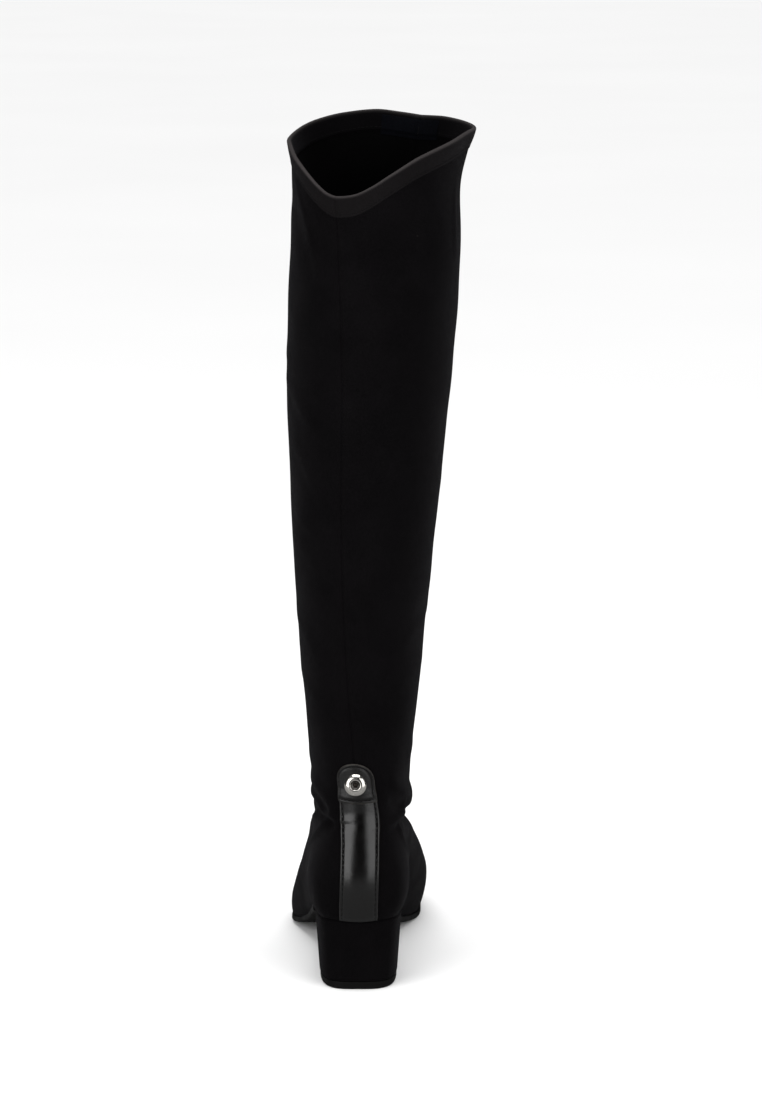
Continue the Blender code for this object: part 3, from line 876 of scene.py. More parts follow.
def mottle_group() -> bpy.types.NodeTree:
    """A slow change over the surface, between two values."""
    graph, given, out = shader_group(
        "mottle",
        [
            ("Vector", "NodeSocketVector", None),
            ("Scale", "NodeSocketFloat", 30.0),
            ("Low", "NodeSocketFloat", 0.0),
            ("High", "NodeSocketFloat", 1.0),
        ],
        [("Value", "NodeSocketFloat")],
    )
    inputs = {"Vector": given.outputs["Vector"], "Scale": given.outputs["Scale"], "Detail": 4.0}
    noise = graph.node("ShaderNodeTexNoise", {**inputs, "Roughness": 0.6})
    value = graph.ramp(noise.outputs[0], 0.3, 0.7, 0.0, 1.0)
    spread = graph.math("SUBTRACT", given.outputs["High"], given.outputs["Low"])
    result = graph.math("MULTIPLY_ADD", value, spread, given.outputs["Low"])
    graph.link(result, out.inputs["Value"])
    return graph.tree


def grain_group() -> bpy.types.NodeTree:
    """Leather grain: fine pebbles between creases, broken up by noise."""
    graph, given, out = shader_group(
        "leather grain",
        [("Vector", "NodeSocketVector", None), ("Scale", "NodeSocketFloat", 1500.0)],
        [("Height", "NodeSocketFloat"), ("Crease", "NodeSocketFloat")],
    )
    noise = graph.node(
        "ShaderNodeTexNoise", {"Vector": given.outputs["Vector"], "Scale": 320.0, "Detail": 3.0}
    )
    shifted = graph.node("ShaderNodeVectorMath", {0: noise.outputs["Color"]}, operation="SCALE")
    shifted.inputs["Scale"].default_value = 0.0012
    moved = graph.node("ShaderNodeVectorMath", {0: given.outputs["Vector"], 1: shifted.outputs[0]})
    cells = graph.node(
        "ShaderNodeTexVoronoi",
        {"Vector": moved.outputs[0], "Scale": given.outputs["Scale"]},
        feature="DISTANCE_TO_EDGE",
    )
    height = graph.ramp(cells.outputs["Distance"], 0.0, 0.28, 0.0, 1.0)
    graph.link(height, out.inputs["Height"])
    graph.link(graph.math("SUBTRACT", 1.0, height), out.inputs["Crease"])
    return graph.tree


def specks_group() -> bpy.types.NodeTree:
    """Sparse small specks of lint or dust."""
    graph, given, out = shader_group(
        "specks",
        [
            ("Vector", "NodeSocketVector", None),
            ("Scale", "NodeSocketFloat", 260.0),
            ("Share", "NodeSocketFloat", 0.03),
        ],
        [("Mask", "NodeSocketFloat")],
    )
    cells = graph.node(
        "ShaderNodeTexVoronoi",
        {"Vector": given.outputs["Vector"], "Scale": given.outputs["Scale"]},
    )
    tone = graph.node("ShaderNodeSeparateColor", {0: cells.outputs["Color"]})
    chosen = graph.math("LESS_THAN", tone.outputs[0], given.outputs["Share"])
    spot = graph.ramp(cells.outputs["Distance"], 0.04, 0.14, 1.0, 0.0)
    graph.link(graph.math("MULTIPLY", chosen, spot), out.inputs["Mask"])
    return graph.tree


def wear_group() -> bpy.types.NodeTree:
    """Wear along edges: the piece's own edge attribute, broken up by noise."""
    graph, given, out = shader_group(
        "edge wear",
        [
            ("Edge", "NodeSocketFloat", 0.0),
            ("Vector", "NodeSocketVector", None),
            ("Scale", "NodeSocketFloat", 300.0),
        ],
        [("Mask", "NodeSocketFloat")],
    )
    inputs = {"Vector": given.outputs["Vector"], "Scale": given.outputs["Scale"], "Detail": 5.0}
    noise = graph.node("ShaderNodeTexNoise", inputs)
    broken = graph.math("MULTIPLY_ADD", noise.outputs[0], 0.9, -0.45)
    mask = graph.ramp(graph.math("ADD", given.outputs["Edge"], broken), 0.45, 0.85, 0.0, 1.0)
    graph.link(mask, out.inputs["Mask"])
    return graph.tree


class Effect(Enum):
    """Shared effects, each built once as a shader group."""

    KNIT = "knit"
    MOTTLE = "mottle"
    GRAIN = "grain"
    SPECKS = "specks"
    WEAR = "wear"


class Effects:
    """The shared shader groups."""

    def __init__(self) -> None:
        """Builds each group once."""
        self.groups = {
            Effect.KNIT: knit_group(),
            Effect.MOTTLE: mottle_group(),
            Effect.GRAIN: grain_group(),
            Effect.SPECKS: specks_group(),
            Effect.WEAR: wear_group(),
        }

    def use(self, graph: Graph, effect: Effect, **inputs: object) -> bpy.types.Node:
        """Places a group in a material with its own values."""
        made = graph.node("ShaderNodeGroup", node_tree=self.groups[effect])
        for name, value in inputs.items():
            if isinstance(value, bpy.types.NodeSocket):
                graph.link(value, made.inputs[name])
            else:
                made.inputs[name].default_value = value
        return made

    def between(
        self, graph: Graph, scale: float, ends: tuple[float, float]
    ) -> bpy.types.Node:
        """Places a mottle that goes to and fro between two values."""
        low, high = ends
        return self.use(graph, Effect.MOTTLE, Vector=graph.place(), Scale=scale, Low=low, High=high)


Colour = tuple[float, float, float]


def start_material(name: str, **values: object) -> tuple[bpy.types.Material, Graph, bpy.types.Node]:
    """A material with its shader and constant values.

    Args:
        name: the material's name.
        values: the shader's inputs, with underscores for spaces.

    Returns:
        The material, its graph and its shader.
    """
    material = bpy.data.materials.new(name)
    material.use_nodes = True
    graph = Graph(material.node_tree)
    shader = material.node_tree.nodes["Principled BSDF"]
    for key, value in values.items():
        shader.inputs[key.replace("_", " ")].default_value = value
    return material, graph, shader


def blend_colours(
    graph: Graph, share: object, first: Colour, second: Colour
) -> bpy.types.NodeSocket:
    """A colour between two, by a mask."""
    made = graph.node("ShaderNodeMix", {0: share}, data_type="RGBA")
    made.inputs[6].default_value = (*first, 1)
    made.inputs[7].default_value = (*second, 1)
    return made.outputs[2]


def cover(
    graph: Graph, share: object, under: bpy.types.NodeSocket, colour: Colour
) -> bpy.types.NodeSocket:
    """One colour laid over another by a mask."""
    made = graph.node("ShaderNodeMix", {0: share, 6: under}, data_type="RGBA")
    made.inputs[7].default_value = (*colour, 1)
    return made.outputs[2]


def bump(
    graph: Graph, shader: bpy.types.Node, height: object, distance: float, strength: float
) -> None:
    """Leads a height to the shader's normal."""
    inputs = {"Height": height, "Distance": distance, "Strength": strength}
    graph.link(graph.node("ShaderNodeBump", inputs).outputs[0], shader.inputs["Normal"])


class Finish:
    """A finish of the boot, whose build method gives its material."""

    def build(self, effects: Effects) -> bpy.types.Material:
        """Builds the material.

        Args:
            effects: the shared groups.

        Returns:
            The material.
        """
        raise NotImplementedError


@dataclass(frozen=True)
class StretchCloth(Finish):
    """Matt stretch knit."""

    name: str = "stretch cloth"
    colour: Colour = (0.0012, 0.0010, 0.0012)
    worn: Colour = (0.0025, 0.0021, 0.0025)
    lint: Colour = (0.022, 0.020, 0.019)
    # Colour of the painted highlight along the upper's rim.
    rim_highlight: Colour = (0.030, 0.027, 0.027)
    pitch: float = 0.0006
    roughness: tuple[float, float] = (0.72, 0.88)
    sheen: float = 0.033
    sheen_roughness: float = 0.35
    sheen_tint: Colour = (0.62, 0.60, 0.66)
    specular: float = 0.025
    lint_share: float = 0.012
    mottle_scale: float = 26.0
    fibre_scale: float = 900.0
    speck_scale: float = 150.0
    dull_scale: float = 60.0
    relief: float = 0.12 * MM

    def build(self, effects: Effects) -> bpy.types.Material:
        """Builds the material."""
        material, graph, shader = start_material(
            self.name,
            Sheen_Weight=self.sheen,
            Sheen_Roughness=self.sheen_roughness,
            Sheen_Tint=(*self.sheen_tint, 1),
            Specular_IOR_Level=self.specular,
        )
        place = graph.place()
        weave = graph.node("ShaderNodeUVMap", uv_map="weave").outputs[0]
        knit = effects.use(graph, Effect.KNIT, Vector=weave, Pitch=self.pitch)
        mottle = effects.use(graph, Effect.MOTTLE, Vector=place, Scale=self.mottle_scale)
        fibre = effects.use(graph, Effect.MOTTLE, Vector=place, Scale=self.fibre_scale)
        specks = effects.use(
            graph, Effect.SPECKS, Vector=place, Scale=self.speck_scale, Share=self.lint_share
        )
        broad = graph.math("MULTIPLY", mottle.outputs[0], 0.55)
        share = graph.math("MULTIPLY_ADD", fibre.outputs[0], 0.45, broad)
        tone = blend_colours(graph, share, self.colour, self.worn)
        dusted = cover(graph, specks.outputs[0], tone, self.lint)
        # Where the edge attribute is set, on the upper's rim, the colour is lifted to a painted
        # highlight.
        graph.link(cover(graph, graph.edge(), dusted, self.rim_highlight), shader.inputs["Base Color"])
        rough = effects.between(graph, self.dull_scale, self.roughness)
        graph.link(rough.outputs[0], shader.inputs["Roughness"])
        height = graph.math("MULTIPLY_ADD", fibre.outputs[0], 0.3, knit.outputs[0])
        bump(graph, shader, height, self.relief, 0.5)
        return material


@dataclass(frozen=True)
class Leather(Finish):
    """Calf leather with fine grain, paler where its edges are worn; on the tab that paler edge is
    also a painted highlight.
    """

    name: str
    colour: Colour = (0.0010, 0.0009, 0.0009)
    worn: Colour = (0.009, 0.0082, 0.0078)
    roughness: tuple[float, float] = (0.09, 0.15)
    grain: float = 0.18
    specular: float = 0.46
    grain_scale: float = 1500.0
    wear_scale: float = 420.0
    dull_scale: float = 110.0
    relief: float = 0.08 * MM

    def build(self, effects: Effects) -> bpy.types.Material:
        """Builds the material."""
        material, graph, shader = start_material(self.name, Specular_IOR_Level=self.specular)
        place = graph.place()
        edge = graph.edge()
        grain = effects.use(graph, Effect.GRAIN, Vector=place, Scale=self.grain_scale)
        wear = effects.use(graph, Effect.WEAR, Edge=edge, Vector=place, Scale=self.wear_scale)
        rough = effects.between(graph, self.dull_scale, self.roughness)
        blend = blend_colours(graph, wear.outputs[0], self.colour, self.worn)
        graph.link(blend, shader.inputs["Base Color"])
        dull = graph.math("MULTIPLY_ADD", wear.outputs[0], 0.25, rough.outputs[0])
        dull = graph.math("MULTIPLY_ADD", grain.outputs["Crease"], 0.08, dull)
        graph.link(dull, shader.inputs["Roughness"])
        bump(graph, shader, grain.outputs["Height"], self.relief, self.grain)
        return material


@dataclass(frozen=True)
class Rubber(Finish):
    """Moulded rubber with a fine stipple, scuffed where it meets the floor."""

    name: str
    colour: Colour = (0.0035, 0.0034, 0.0034)
    scuffed: Colour = (0.011, 0.0105, 0.0100)
    roughness: tuple[float, float] = (0.5, 0.68)
    specular: float = 0.10
    stipple: float = 0.35
    stipple_scale: float = 1400.0
    wear_scale: float = 240.0
    dull_scale: float = 90.0
    relief: float = 0.1 * MM

    def build(self, effects: Effects) -> bpy.types.Material:
        """Builds the material."""
        material, graph, shader = start_material(self.name, Specular_IOR_Level=self.specular)
        place = graph.place()
        edge = graph.edge()
        wear = effects.use(graph, Effect.WEAR, Edge=edge, Vector=place, Scale=self.wear_scale)
        fine = effects.use(graph, Effect.MOTTLE, Vector=place, Scale=self.stipple_scale)
        rough = effects.between(graph, self.dull_scale, self.roughness)
        blend = blend_colours(graph, wear.outputs[0], self.colour, self.scuffed)
        graph.link(blend, shader.inputs["Base Color"])
        graph.link(rough.outputs[0], shader.inputs["Roughness"])
        bump(graph, shader, fine.outputs[0], self.relief, self.stipple)
        return material


@dataclass(frozen=True)
class AgedMetal(Finish):
    """Silver-coloured plated metal, darkened in its recesses."""

    name: str = "stud metal"
    bright: Colour = (0.62, 0.60, 0.565)
    tarnish: Colour = (0.030, 0.026, 0.022)
    roughness: tuple[float, float] = (0.10, 0.24)
    tarnish_scale: float = 900.0
    dull_scale: float = 700.0
    scratch_scale: float = 2600.0
    relief: float = 0.03 * MM

    def build(self, effects: Effects) -> bpy.types.Material:
        """Builds the material."""
        material, graph, shader = start_material(self.name, Metallic=1.0)
        place = graph.place()
        recess = graph.edge()
        spots = effects.use(
            graph, Effect.WEAR, Edge=recess, Vector=place, Scale=self.tarnish_scale
        )
        rough = effects.between(graph, self.dull_scale, self.roughness)
        blend = blend_colours(graph, spots.outputs[0], self.bright, self.tarnish)
        graph.link(blend, shader.inputs["Base Color"])
        dull = graph.math("MULTIPLY_ADD", spots.outputs[0], 0.3, rough.outputs[0])
        graph.link(dull, shader.inputs["Roughness"])
        inputs = {"Vector": place, "Scale": self.scratch_scale, "Detail": 2.0}
        scratches = graph.node("ShaderNodeTexNoise", inputs)
        bump(graph, shader, scratches.outputs[0], self.relief, 0.25)
        return material


@dataclass(frozen=True)
class Thread(Finish):
    """Twisted polyester thread."""

    name: str = "thread"
    colour: Colour = (0.0014, 0.0013, 0.0014)
    lit: Colour = (0.0030, 0.0028, 0.0030)
    roughness: tuple[float, float] = (0.55, 0.75)
    specular: float = 0.08
    tone_scale: float = 1800.0
    dull_scale: float = 1200.0
    twist_scale: float = 900.0
    relief: float = 0.05 * MM

    def build(self, effects: Effects) -> bpy.types.Material:
        """Builds the material."""
        material, graph, shader = start_material(self.name, Specular_IOR_Level=self.specular)
        place = graph.place()
        tone = effects.use(graph, Effect.MOTTLE, Vector=place, Scale=self.tone_scale)
        blend = blend_colours(graph, tone.outputs[0], self.colour, self.lit)
        graph.link(blend, shader.inputs["Base Color"])
        rough = effects.between(graph, self.dull_scale, self.roughness)
        graph.link(rough.outputs[0], shader.inputs["Roughness"])
        inputs = {"Vector": place, "Scale": self.twist_scale, "Distortion": 1.0}
        twist = graph.node("ShaderNodeTexWave", inputs)
        bump(graph, shader, twist.outputs["Fac"], self.relief, 0.4)
        return material


@dataclass(frozen=True)
class Wardrobe:
    """All finishes of the boot."""

    cloth: bpy.types.Material
    heel_cloth: bpy.types.Material
    lining: bpy.types.Material
    strip_leather: bpy.types.Material
    tab_leather: bpy.types.Material
    sole_rubber: bpy.types.Material
    lift_rubber: bpy.types.Material
    insole: bpy.types.Material
    tape: bpy.types.Material
    metal: bpy.types.Material
    thread: bpy.types.Material

    @classmethod
    def build(cls, effects: Effects) -> "Wardrobe":
        """Builds every finish once."""
        return cls(
            cloth=StretchCloth().build(effects),
            heel_cloth=StretchCloth("heel cloth", pitch=0.0007, sheen=0.032).build(effects),
            lining=StretchCloth(
                "lining",
                # The lining is darker than the outer cloth; part of that darkness is painted shade
                # inside the shaft.
                colour=(0.0007, 0.0006, 0.0007),
                worn=(0.0014, 0.0013, 0.0014),
                sheen=0.010,
                lint_share=0.006,
            ).build(effects),
            strip_leather=Leather("glossy leather").build(effects),
            tab_leather=Leather(
                "tab leather",
                colour=(0.0018, 0.0015, 0.0014),
                # The tab's pale edge colour is edge wear together with a painted highlight along
                # its rim.
                worn=(0.024, 0.021, 0.018),
                roughness=(0.22, 0.32),
                specular=0.30,
                grain=0.4,
            ).build(effects),
            sole_rubber=Rubber("sole rubber").build(effects),
            lift_rubber=Rubber(
                "lift rubber", colour=(0.0020, 0.0019, 0.0019), stipple=0.5
            ).build(effects),
            insole=StretchCloth(
                "insole cloth", sheen=0.02, worn=(0.010, 0.0095, 0.010)
            ).build(effects),
            tape=StretchCloth(
                "tape",
                colour=(0.0011, 0.0012, 0.0019),
                worn=(0.0024, 0.0026, 0.0040),
                sheen=0.014,
            ).build(effects),
            metal=AgedMetal().build(effects),
            thread=Thread().build(effects),
        )


# ---------------------------------------------------------------------------------------------
# Stitches
# ---------------------------------------------------------------------------------------------


@dataclass(frozen=True)
class Stitch:
    """Size of one stitch, its distance to the next and its turn out of the line."""

    pitch: float
    length: float
    width: float = 0.5 * MM
    height: float = 0.42 * MM
    turn: float = 0.0


class StitchTree:
    """Geometry Nodes tree that lays small rounded bodies along a line on a surface."""

    SIZES = ("Pitch", "Length", "Width", "Height", "Turn")

    def __init__(self) -> None:
        """Builds the tree."""
        tree = bpy.data.node_groups.new("stitches", "GeometryNodeTree")
        face = tree.interface
        face.new_socket("Geometry", in_out="INPUT", socket_type="NodeSocketGeometry")
        for name in self.SIZES:
            face.new_socket(name, in_out="INPUT", socket_type="NodeSocketFloat")
        face.new_socket("Material", in_out="INPUT", socket_type="NodeSocketMaterial")
        face.new_socket("Geometry", in_out="OUTPUT", socket_type="NodeSocketGeometry")
        graph = Graph(tree)
        given = graph.node("NodeGroupInput").outputs
        out = graph.node("NodeGroupOutput")
        line = graph.node("GeometryNodeMeshToCurve", {"Mesh": given["Geometry"]})
        even = graph.node("GeometryNodeResampleCurve", {"Curve": line.outputs[0]})
        even.mode = "LENGTH"
        graph.link(given["Pitch"], even.inputs["Length"])
        ball = graph.node("GeometryNodeMeshUVSphere", {"Segments": 8, "Rings": 6, "Radius": 0.5})
        size = graph.node(
            "ShaderNodeCombineXYZ", {0: given["Length"], 1: given["Width"], 2: given["Height"]}
        )
        body = graph.node(
            "GeometryNodeTransform", {"Geometry": ball.outputs[0], "Scale": size.outputs[0]}
        )
        tangent = graph.node("GeometryNodeInputTangent")
        facing = graph.node(
            "GeometryNodeInputNamedAttribute", {"Name": "facing"}, data_type="FLOAT_VECTOR"
        )
        upright = graph.node(
            "FunctionNodeAlignRotationToVector", {"Vector": facing.outputs[0]}, axis="Z"
        )
        along = graph.node(
            "FunctionNodeAlignRotationToVector",
            {"Rotation": upright.outputs[0], "Vector": tangent.outputs[0]},
            axis="X",
            pivot_axis="Z",
        )
        spin = graph.node(
            "FunctionNodeAxisAngleToRotation", {"Axis": (0, 0, 1), "Angle": given["Turn"]}
        )
        turned = graph.node(
            "FunctionNodeRotateRotation",
            {"Rotation": along.outputs[0], "Rotate By": spin.outputs[0]},
            rotation_space="LOCAL",
        )
        spread = graph.node(
            "GeometryNodeInstanceOnPoints",
            {"Points": even.outputs[0], "Instance": body.outputs[0], "Rotation": turned.outputs[0]},
        )
        real = graph.node("GeometryNodeRealizeInstances", {"Geometry": spread.outputs[0]})
        smooth = graph.node("GeometryNodeSetShadeSmooth", {"Geometry": real.outputs[0]})
        dress = graph.node(
            "GeometryNodeSetMaterial",
            {"Geometry": smooth.outputs[0], "Material": given["Material"]},
        )
        graph.link(dress.outputs[0], out.inputs[0])
        self.tree = tree

    def lay(
        self,
        name: str,
        lines: Sequence[tuple[Array, Array]],
        stitch: Stitch,
        material: bpy.types.Material,
    ) -> bpy.types.Object:
        """Lays bodies along lines and makes them a plain mesh.

        Args:
            name: the piece's name.
            lines: points and facing directions of each line.
            stitch: the bodies' sizes.
            material: their finish.

        Returns:
            The piece.
        """
        guide = bpy.data.meshes.new(name + "_line")
        points = np.concatenate([line for line, _ in lines])
        facing = np.concatenate([way for _, way in lines])
        edges, start = [], 0
        for line, _ in lines:
            edges += [(start + i, start + i + 1) for i in range(len(line) - 1)]
            start += len(line)
        guide.from_pydata(points.tolist(), edges, [])
        guide.attributes.new("facing", "FLOAT_VECTOR", "POINT").data.foreach_set(
            "vector", facing.astype(np.float32).ravel()
        )
        holder = bpy.data.objects.new(name + "_line", guide)
        bpy.context.scene.collection.objects.link(holder)
        modifier = holder.modifiers.new("stitches", "NODES")
        modifier.node_group = self.tree
        for item in self.tree.interface.items_tree:
            if item.in_out == "INPUT" and item.name in self.SIZES:
                modifier[item.identifier] = getattr(stitch, item.name.lower())
            elif item.in_out == "INPUT" and item.name == "Material":
                modifier[item.identifier] = material
        ready = holder.evaluated_get(bpy.context.evaluated_depsgraph_get())
        mesh = bpy.data.meshes.new_from_object(ready)
        mesh.name = name
        bpy.data.objects.remove(holder)
        piece = bpy.data.objects.new(name, mesh)
        bpy.context.scene.collection.objects.link(piece)
        return piece


def facing_of(points: Callable[[Array | float], Array]) -> tuple[Array, Array]:
    """A line on a surface and the way out of it, from a function of the distance out."""
    return points(0.0), unit(points(1 * MM) - points(0.0))


# ---------------------------------------------------------------------------------------------
# Pieces of the boot
# ---------------------------------------------------------------------------------------------


def settle(piece: bpy.types.Object, nodes: Sequence[str] = ()) -> bpy.types.Object:
    """Hands a finished piece to the frame.

    Args:
        piece: the finished piece.
        nodes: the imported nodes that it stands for.

    Returns:
        The piece.
    """
    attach(piece, ROOT)
    if nodes:
        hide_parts(*nodes)
    mesh = piece.data
    log.info("%s: %d points, %d faces", piece.name, len(mesh.vertices), len(mesh.polygons))
    return piece


# Where the upper's rows lie closer together: levels at the sole edge, how far below the rim the
# even rows of the shaft end, and millimetres below the rim, outside and inside the hem.
FOOT_EDGE_LEVELS = (0.0, 0.004, 0.010, 0.018, 0.028)
HEM_START = 16 * MM
HEM_OUTSIDE = (
    14.5, 13.4, 12.9, 12.5, 12.2, 11.9, 11.6, 11.2, 10.8, 10.4,
    10.0, 9.5, 8.6, 7.4, 6.0, 4.7, 3.5, 2.5, 1.9,
)
HEM_INSIDE = (2.4, 4.0, 6.5, 9.0, 10.6, 11.3, 11.6, 11.9, 12.2, 12.7, 14.0, 17.0)


@dataclass
class Upper:
    """The stretch-cloth upper: one closed wall from the sole edge to the rolled rim and back."""

    skin: Skin
    columns_between_seams: int = 96
    weave_width: float = 0.34
    seam_turns: tuple[float, ...] = (0.0011, 0.0022, 0.0034, 0.005, 0.0075, 0.0105, 0.014)
    foot_rows: int = 88
    shaft_rows: int = 150
    inner_rows: tuple[int, int] = (46, 30)
    rim_rows: int = 11
    lining_from: float = 0.034

    def turns(self) -> Array:
        """Columns round the leg, close together at both seams."""
        last = self.seam_turns[-1]
        middle = np.linspace(last, 0.5 - last, self.columns_between_seams)[1:-1]
        before_front = 0.5 - np.array(self.seam_turns[::-1])
        half = np.concatenate([[0.0], self.seam_turns, middle, before_front])
        return np.concatenate([half, half + 0.5])

    def rows(self, turn: Array) -> list[tuple[Array, Array, Wall]]:
        """Rows of the wall: level and distance out at each column, and which face they lie on."""
        skin = self.skin
        ones = np.ones_like(turn)
        radius = skin.hem_wall / 2
        foot = np.concatenate([FOOT_EDGE_LEVELS, np.linspace(0.04, 1, self.foot_rows)])
        rows = [(level * ones, 0 * ones, Wall.OUTER) for level in foot]
        hem_start = skin.level_below(turn, HEM_START)
        shares = np.linspace(0, 1, self.shaft_rows)[1:]
        rows += [(mix(ones, hem_start, share), 0 * ones, Wall.OUTER) for share in shares]
        for below in HEM_OUTSIDE:
            rows.append((skin.level_below(turn, below * MM), 0 * ones, Wall.OUTER))
        for angle in np.linspace(0, math.pi, self.rim_rows):
            below = radius * (1 - math.sin(angle))
            out = -radius * (1 - math.cos(angle))
            rows.append((skin.level_below(turn, below), out * ones, Wall.OUTER))
        for below in HEM_INSIDE:
            rows.append((skin.level_below(turn, below * MM), 0 * ones, Wall.INNER))
        inner_start = skin.level_below(turn, HEM_INSIDE[-1] * MM)
        down_shaft, down_foot = self.inner_rows
        shares = np.linspace(0, 1, down_shaft)[1:]
        rows += [(mix(inner_start, ones, share), 0 * ones, Wall.INNER) for share in shares]
        levels = np.linspace(1, 0, down_foot)[1:]
        rows += [(level * ones, 0 * ones, Wall.INNER) for level in levels]
        return rows

    def build(self, wardrobe: Wardrobe) -> bpy.types.Object:
        """Builds the upper.

        Args:
            wardrobe: the finishes.

        Returns:
            The piece, cloth outside and lining inside.
        """
        turn = self.turns()
        rows = self.rows(turn)
        grid = np.empty((len(rows), len(turn), 3))
        for wall in Wall:
            chosen = [i for i, row in enumerate(rows) if row[2] is wall]
            levels = np.array([rows[i][0] for i in chosen])
            outs = np.array([rows[i][1] for i in chosen])
            grid[chosen] = self.skin.place(turn[None, :], levels, outs, wall)
        faces = grid_faces(*grid.shape[:2], closed_rows=True, closed_columns=True)
        piece = make_mesh("upper_cloth", grid, faces, sharp=75, merge=False)
        self.weave(piece, grid, faces, turn)
        # The edge attribute carries the painted highlight along the rim.
        set_point_value(piece, "edge", self.painted_rim_highlight(rows, turn))
        piece.data.materials.append(wardrobe.cloth)
        piece.data.materials.append(wardrobe.lining)
        first_inside = next(
            i
            for i, (level, _, wall) in enumerate(rows)
            if wall is Wall.INNER and float(level.mean()) < 2 - self.lining_from
        )
        inside = (faces[:, 0] // len(turn)) >= first_inside
        piece.data.polygons.foreach_set("material_index", inside.astype(np.int32))
        return settle(piece, ["upper"])

    def painted_rim_highlight(self, rows: list[tuple[Array, Array, Wall]], turn: Array) -> Array:
        """Painted highlight along the rim, and a little lighter over the hem outside."""
        values = []
        for level, _, wall in rows:
            below = (2 - level) * self.skin.shaft_height(turn)
            painted_highlight = bell(below, 1.1 * MM)
            if wall is Wall.OUTER:
                painted_highlight = np.maximum(painted_highlight, 0.10 * self.skin.hem_share(turn, level))
            values.append(painted_highlight * (level > 1.5))
        return np.concatenate(values)

    def weave(self, piece: bpy.types.Object, grid: Array, faces: Array, turn: Array) -> None:
        """Lays the weave's map over the cloth, in metres round and up the leg."""
        steps = np.linalg.norm(np.diff(grid, axis=0, append=grid[:1]), axis=-1).mean(1)
        rise = np.concatenate([[0.0], np.cumsum(steps)])
        row, column = np.divmod(faces, len(turn))
        u = turn[column] * self.weave_width
        u = np.where((column == 0) & (column.max(1) > 1)[:, None], self.weave_width, u)
        v = rise[np.where((row == 0) & (row.max(1) > 1)[:, None], len(grid), row)]
        set_uv(piece, "weave", np.stack([u, v], -1))


@dataclass
class HemStitches:
    """The hem's sewn line outside, and where it shows inside."""

    skin: Skin
    sunk: float = 0.03 * MM
    stitch: Stitch = Stitch(2.7 * MM, 2.1 * MM, 0.36 * MM, 0.3 * MM)

    def build(self, tree: StitchTree, wardrobe: Wardrobe) -> bpy.types.Object:
        """Builds both lines of stitches."""
        turn = np.linspace(0.0, 1.0, 361)
        level = self.skin.level_below(turn, self.skin.hem_stitching)
        lines = [
            facing_of(lambda out, wall=wall, up=up: self.skin.place(turn, level, up + out, wall))
            for wall, up in ((Wall.OUTER, self.sunk), (Wall.INNER, -self.sunk))
        ]
        piece = tree.lay("hem_stitches", lines, self.stitch, wardrobe.thread)
        return settle(piece)


@dataclass
class FacingTape:
    """Blank tape inside the front of the collar, with its bar tack on the front seam."""

    skin: Skin
    start: float = 0.545
    end: float = 0.425
    top: float = 3.0 * MM
    bottom: float = 14.5 * MM
    thick: float = 0.35 * MM
    clearance: float = 0.05 * MM
    tack_top: float = 7.2 * MM
    tack_bottom: float = 12.8 * MM
    tack: Stitch = Stitch(0.4 * MM, 2.6 * MM, 0.38 * MM, 0.5 * MM, math.pi / 2)
    rows: int = 16
    columns: int = 61

    def build(self, tree: StitchTree, wardrobe: Wardrobe) -> list[bpy.types.Object]:
        """Builds the tape and its bar tack."""
        turn = np.linspace(self.start, self.end, self.columns)[None, :]
        below = np.linspace(self.top, self.bottom, self.rows)[:, None]
        level = self.skin.level_below(np.broadcast_to(turn, (self.rows, self.columns)), below)
        row, column = np.indices(level.shape)
        edge = np.minimum.reduce(
            [column, self.columns - 1 - column, 2 * row, 2 * (self.rows - 1 - row)]
        )
        raised = self.thick * (0.6 + 0.4 * ease(edge / 2))
        near = self.skin.place(turn, level, -self.clearance, Wall.INNER)
        far = self.skin.place(turn, level, -self.clearance - raised, Wall.INNER)
        points, faces = add_plate(far, near)
        tape = make_mesh("facing_tape", points, faces)
        tape.data.materials.append(wardrobe.tape)
        set_uv(tape, "weave", corner_points(tape)[:, [0, 2]])
        turns = np.full(15, 0.5)
        level = self.skin.level_below(turns, np.linspace(self.tack_top, self.tack_bottom, 15))
        line = facing_of(
            lambda out: self.skin.place(turns, level, out - self.thick, Wall.INNER)
        )
        tack = tree.lay("bar_tack", [line], self.tack, wardrobe.thread)
        return [settle(tape), settle(tack)]


EDGE_ROUND = 0.8 * MM
STITCH_INSET = 1.7 * MM
GROOVE_REACH = 0.42 * MM
PAD_START = 1.9 * MM
PAD_RUN = 4 * MM


def strip_profile(away: Array, thick: float) -> Array:
    """Height of a sewn leather edge: a rolled border, the stitched groove, then the padded middle.

    Args:
        away: distance in from the edge.
        thick: the leather's thickness.

    Returns:
        Height over the leather's underside.
    """
    share = np.clip(away / EDGE_ROUND, 0, 1)
    border = np.sqrt(share * (2 - share))
    groove = bell(away - STITCH_INSET, GROOVE_REACH)
    padding = ease((away - PAD_START) / PAD_RUN)
    return thick * (0.45 + 0.52 * border - 0.34 * groove + 0.14 * padding)


def carry_over(piece: bpy.types.Object, points: Array, values: Array) -> Array:
    """Values for a piece's points from those of the points that it was made of.

    Args:
        piece: the piece, whose mesh may have merged some points.
        points: the points before that.
        values: one value for each of them.

    Returns:
        One value for each point of the piece.
    """
    left = mesh_points(piece)
    if len(values) == len(left):
        return values
    grain = 2e-6
    keys = {tuple(p): i for i, p in enumerate(np.round(points / grain).astype(int).tolist())}
    steps = [(a, b, c) for a in (-1, 0, 1) for b in (-1, 0, 1) for c in (-1, 0, 1)]
    found = []
    for x, y, z in np.round(left / grain).astype(int).tolist():
        spot = keys.get((x, y, z))
        if spot is None:
            near = ((x + a, y + b, z + c) for a, b, c in steps)
            spot = next((keys[place] for place in near if place in keys), 0)
        found.append(spot)
    return values[np.array(found)]


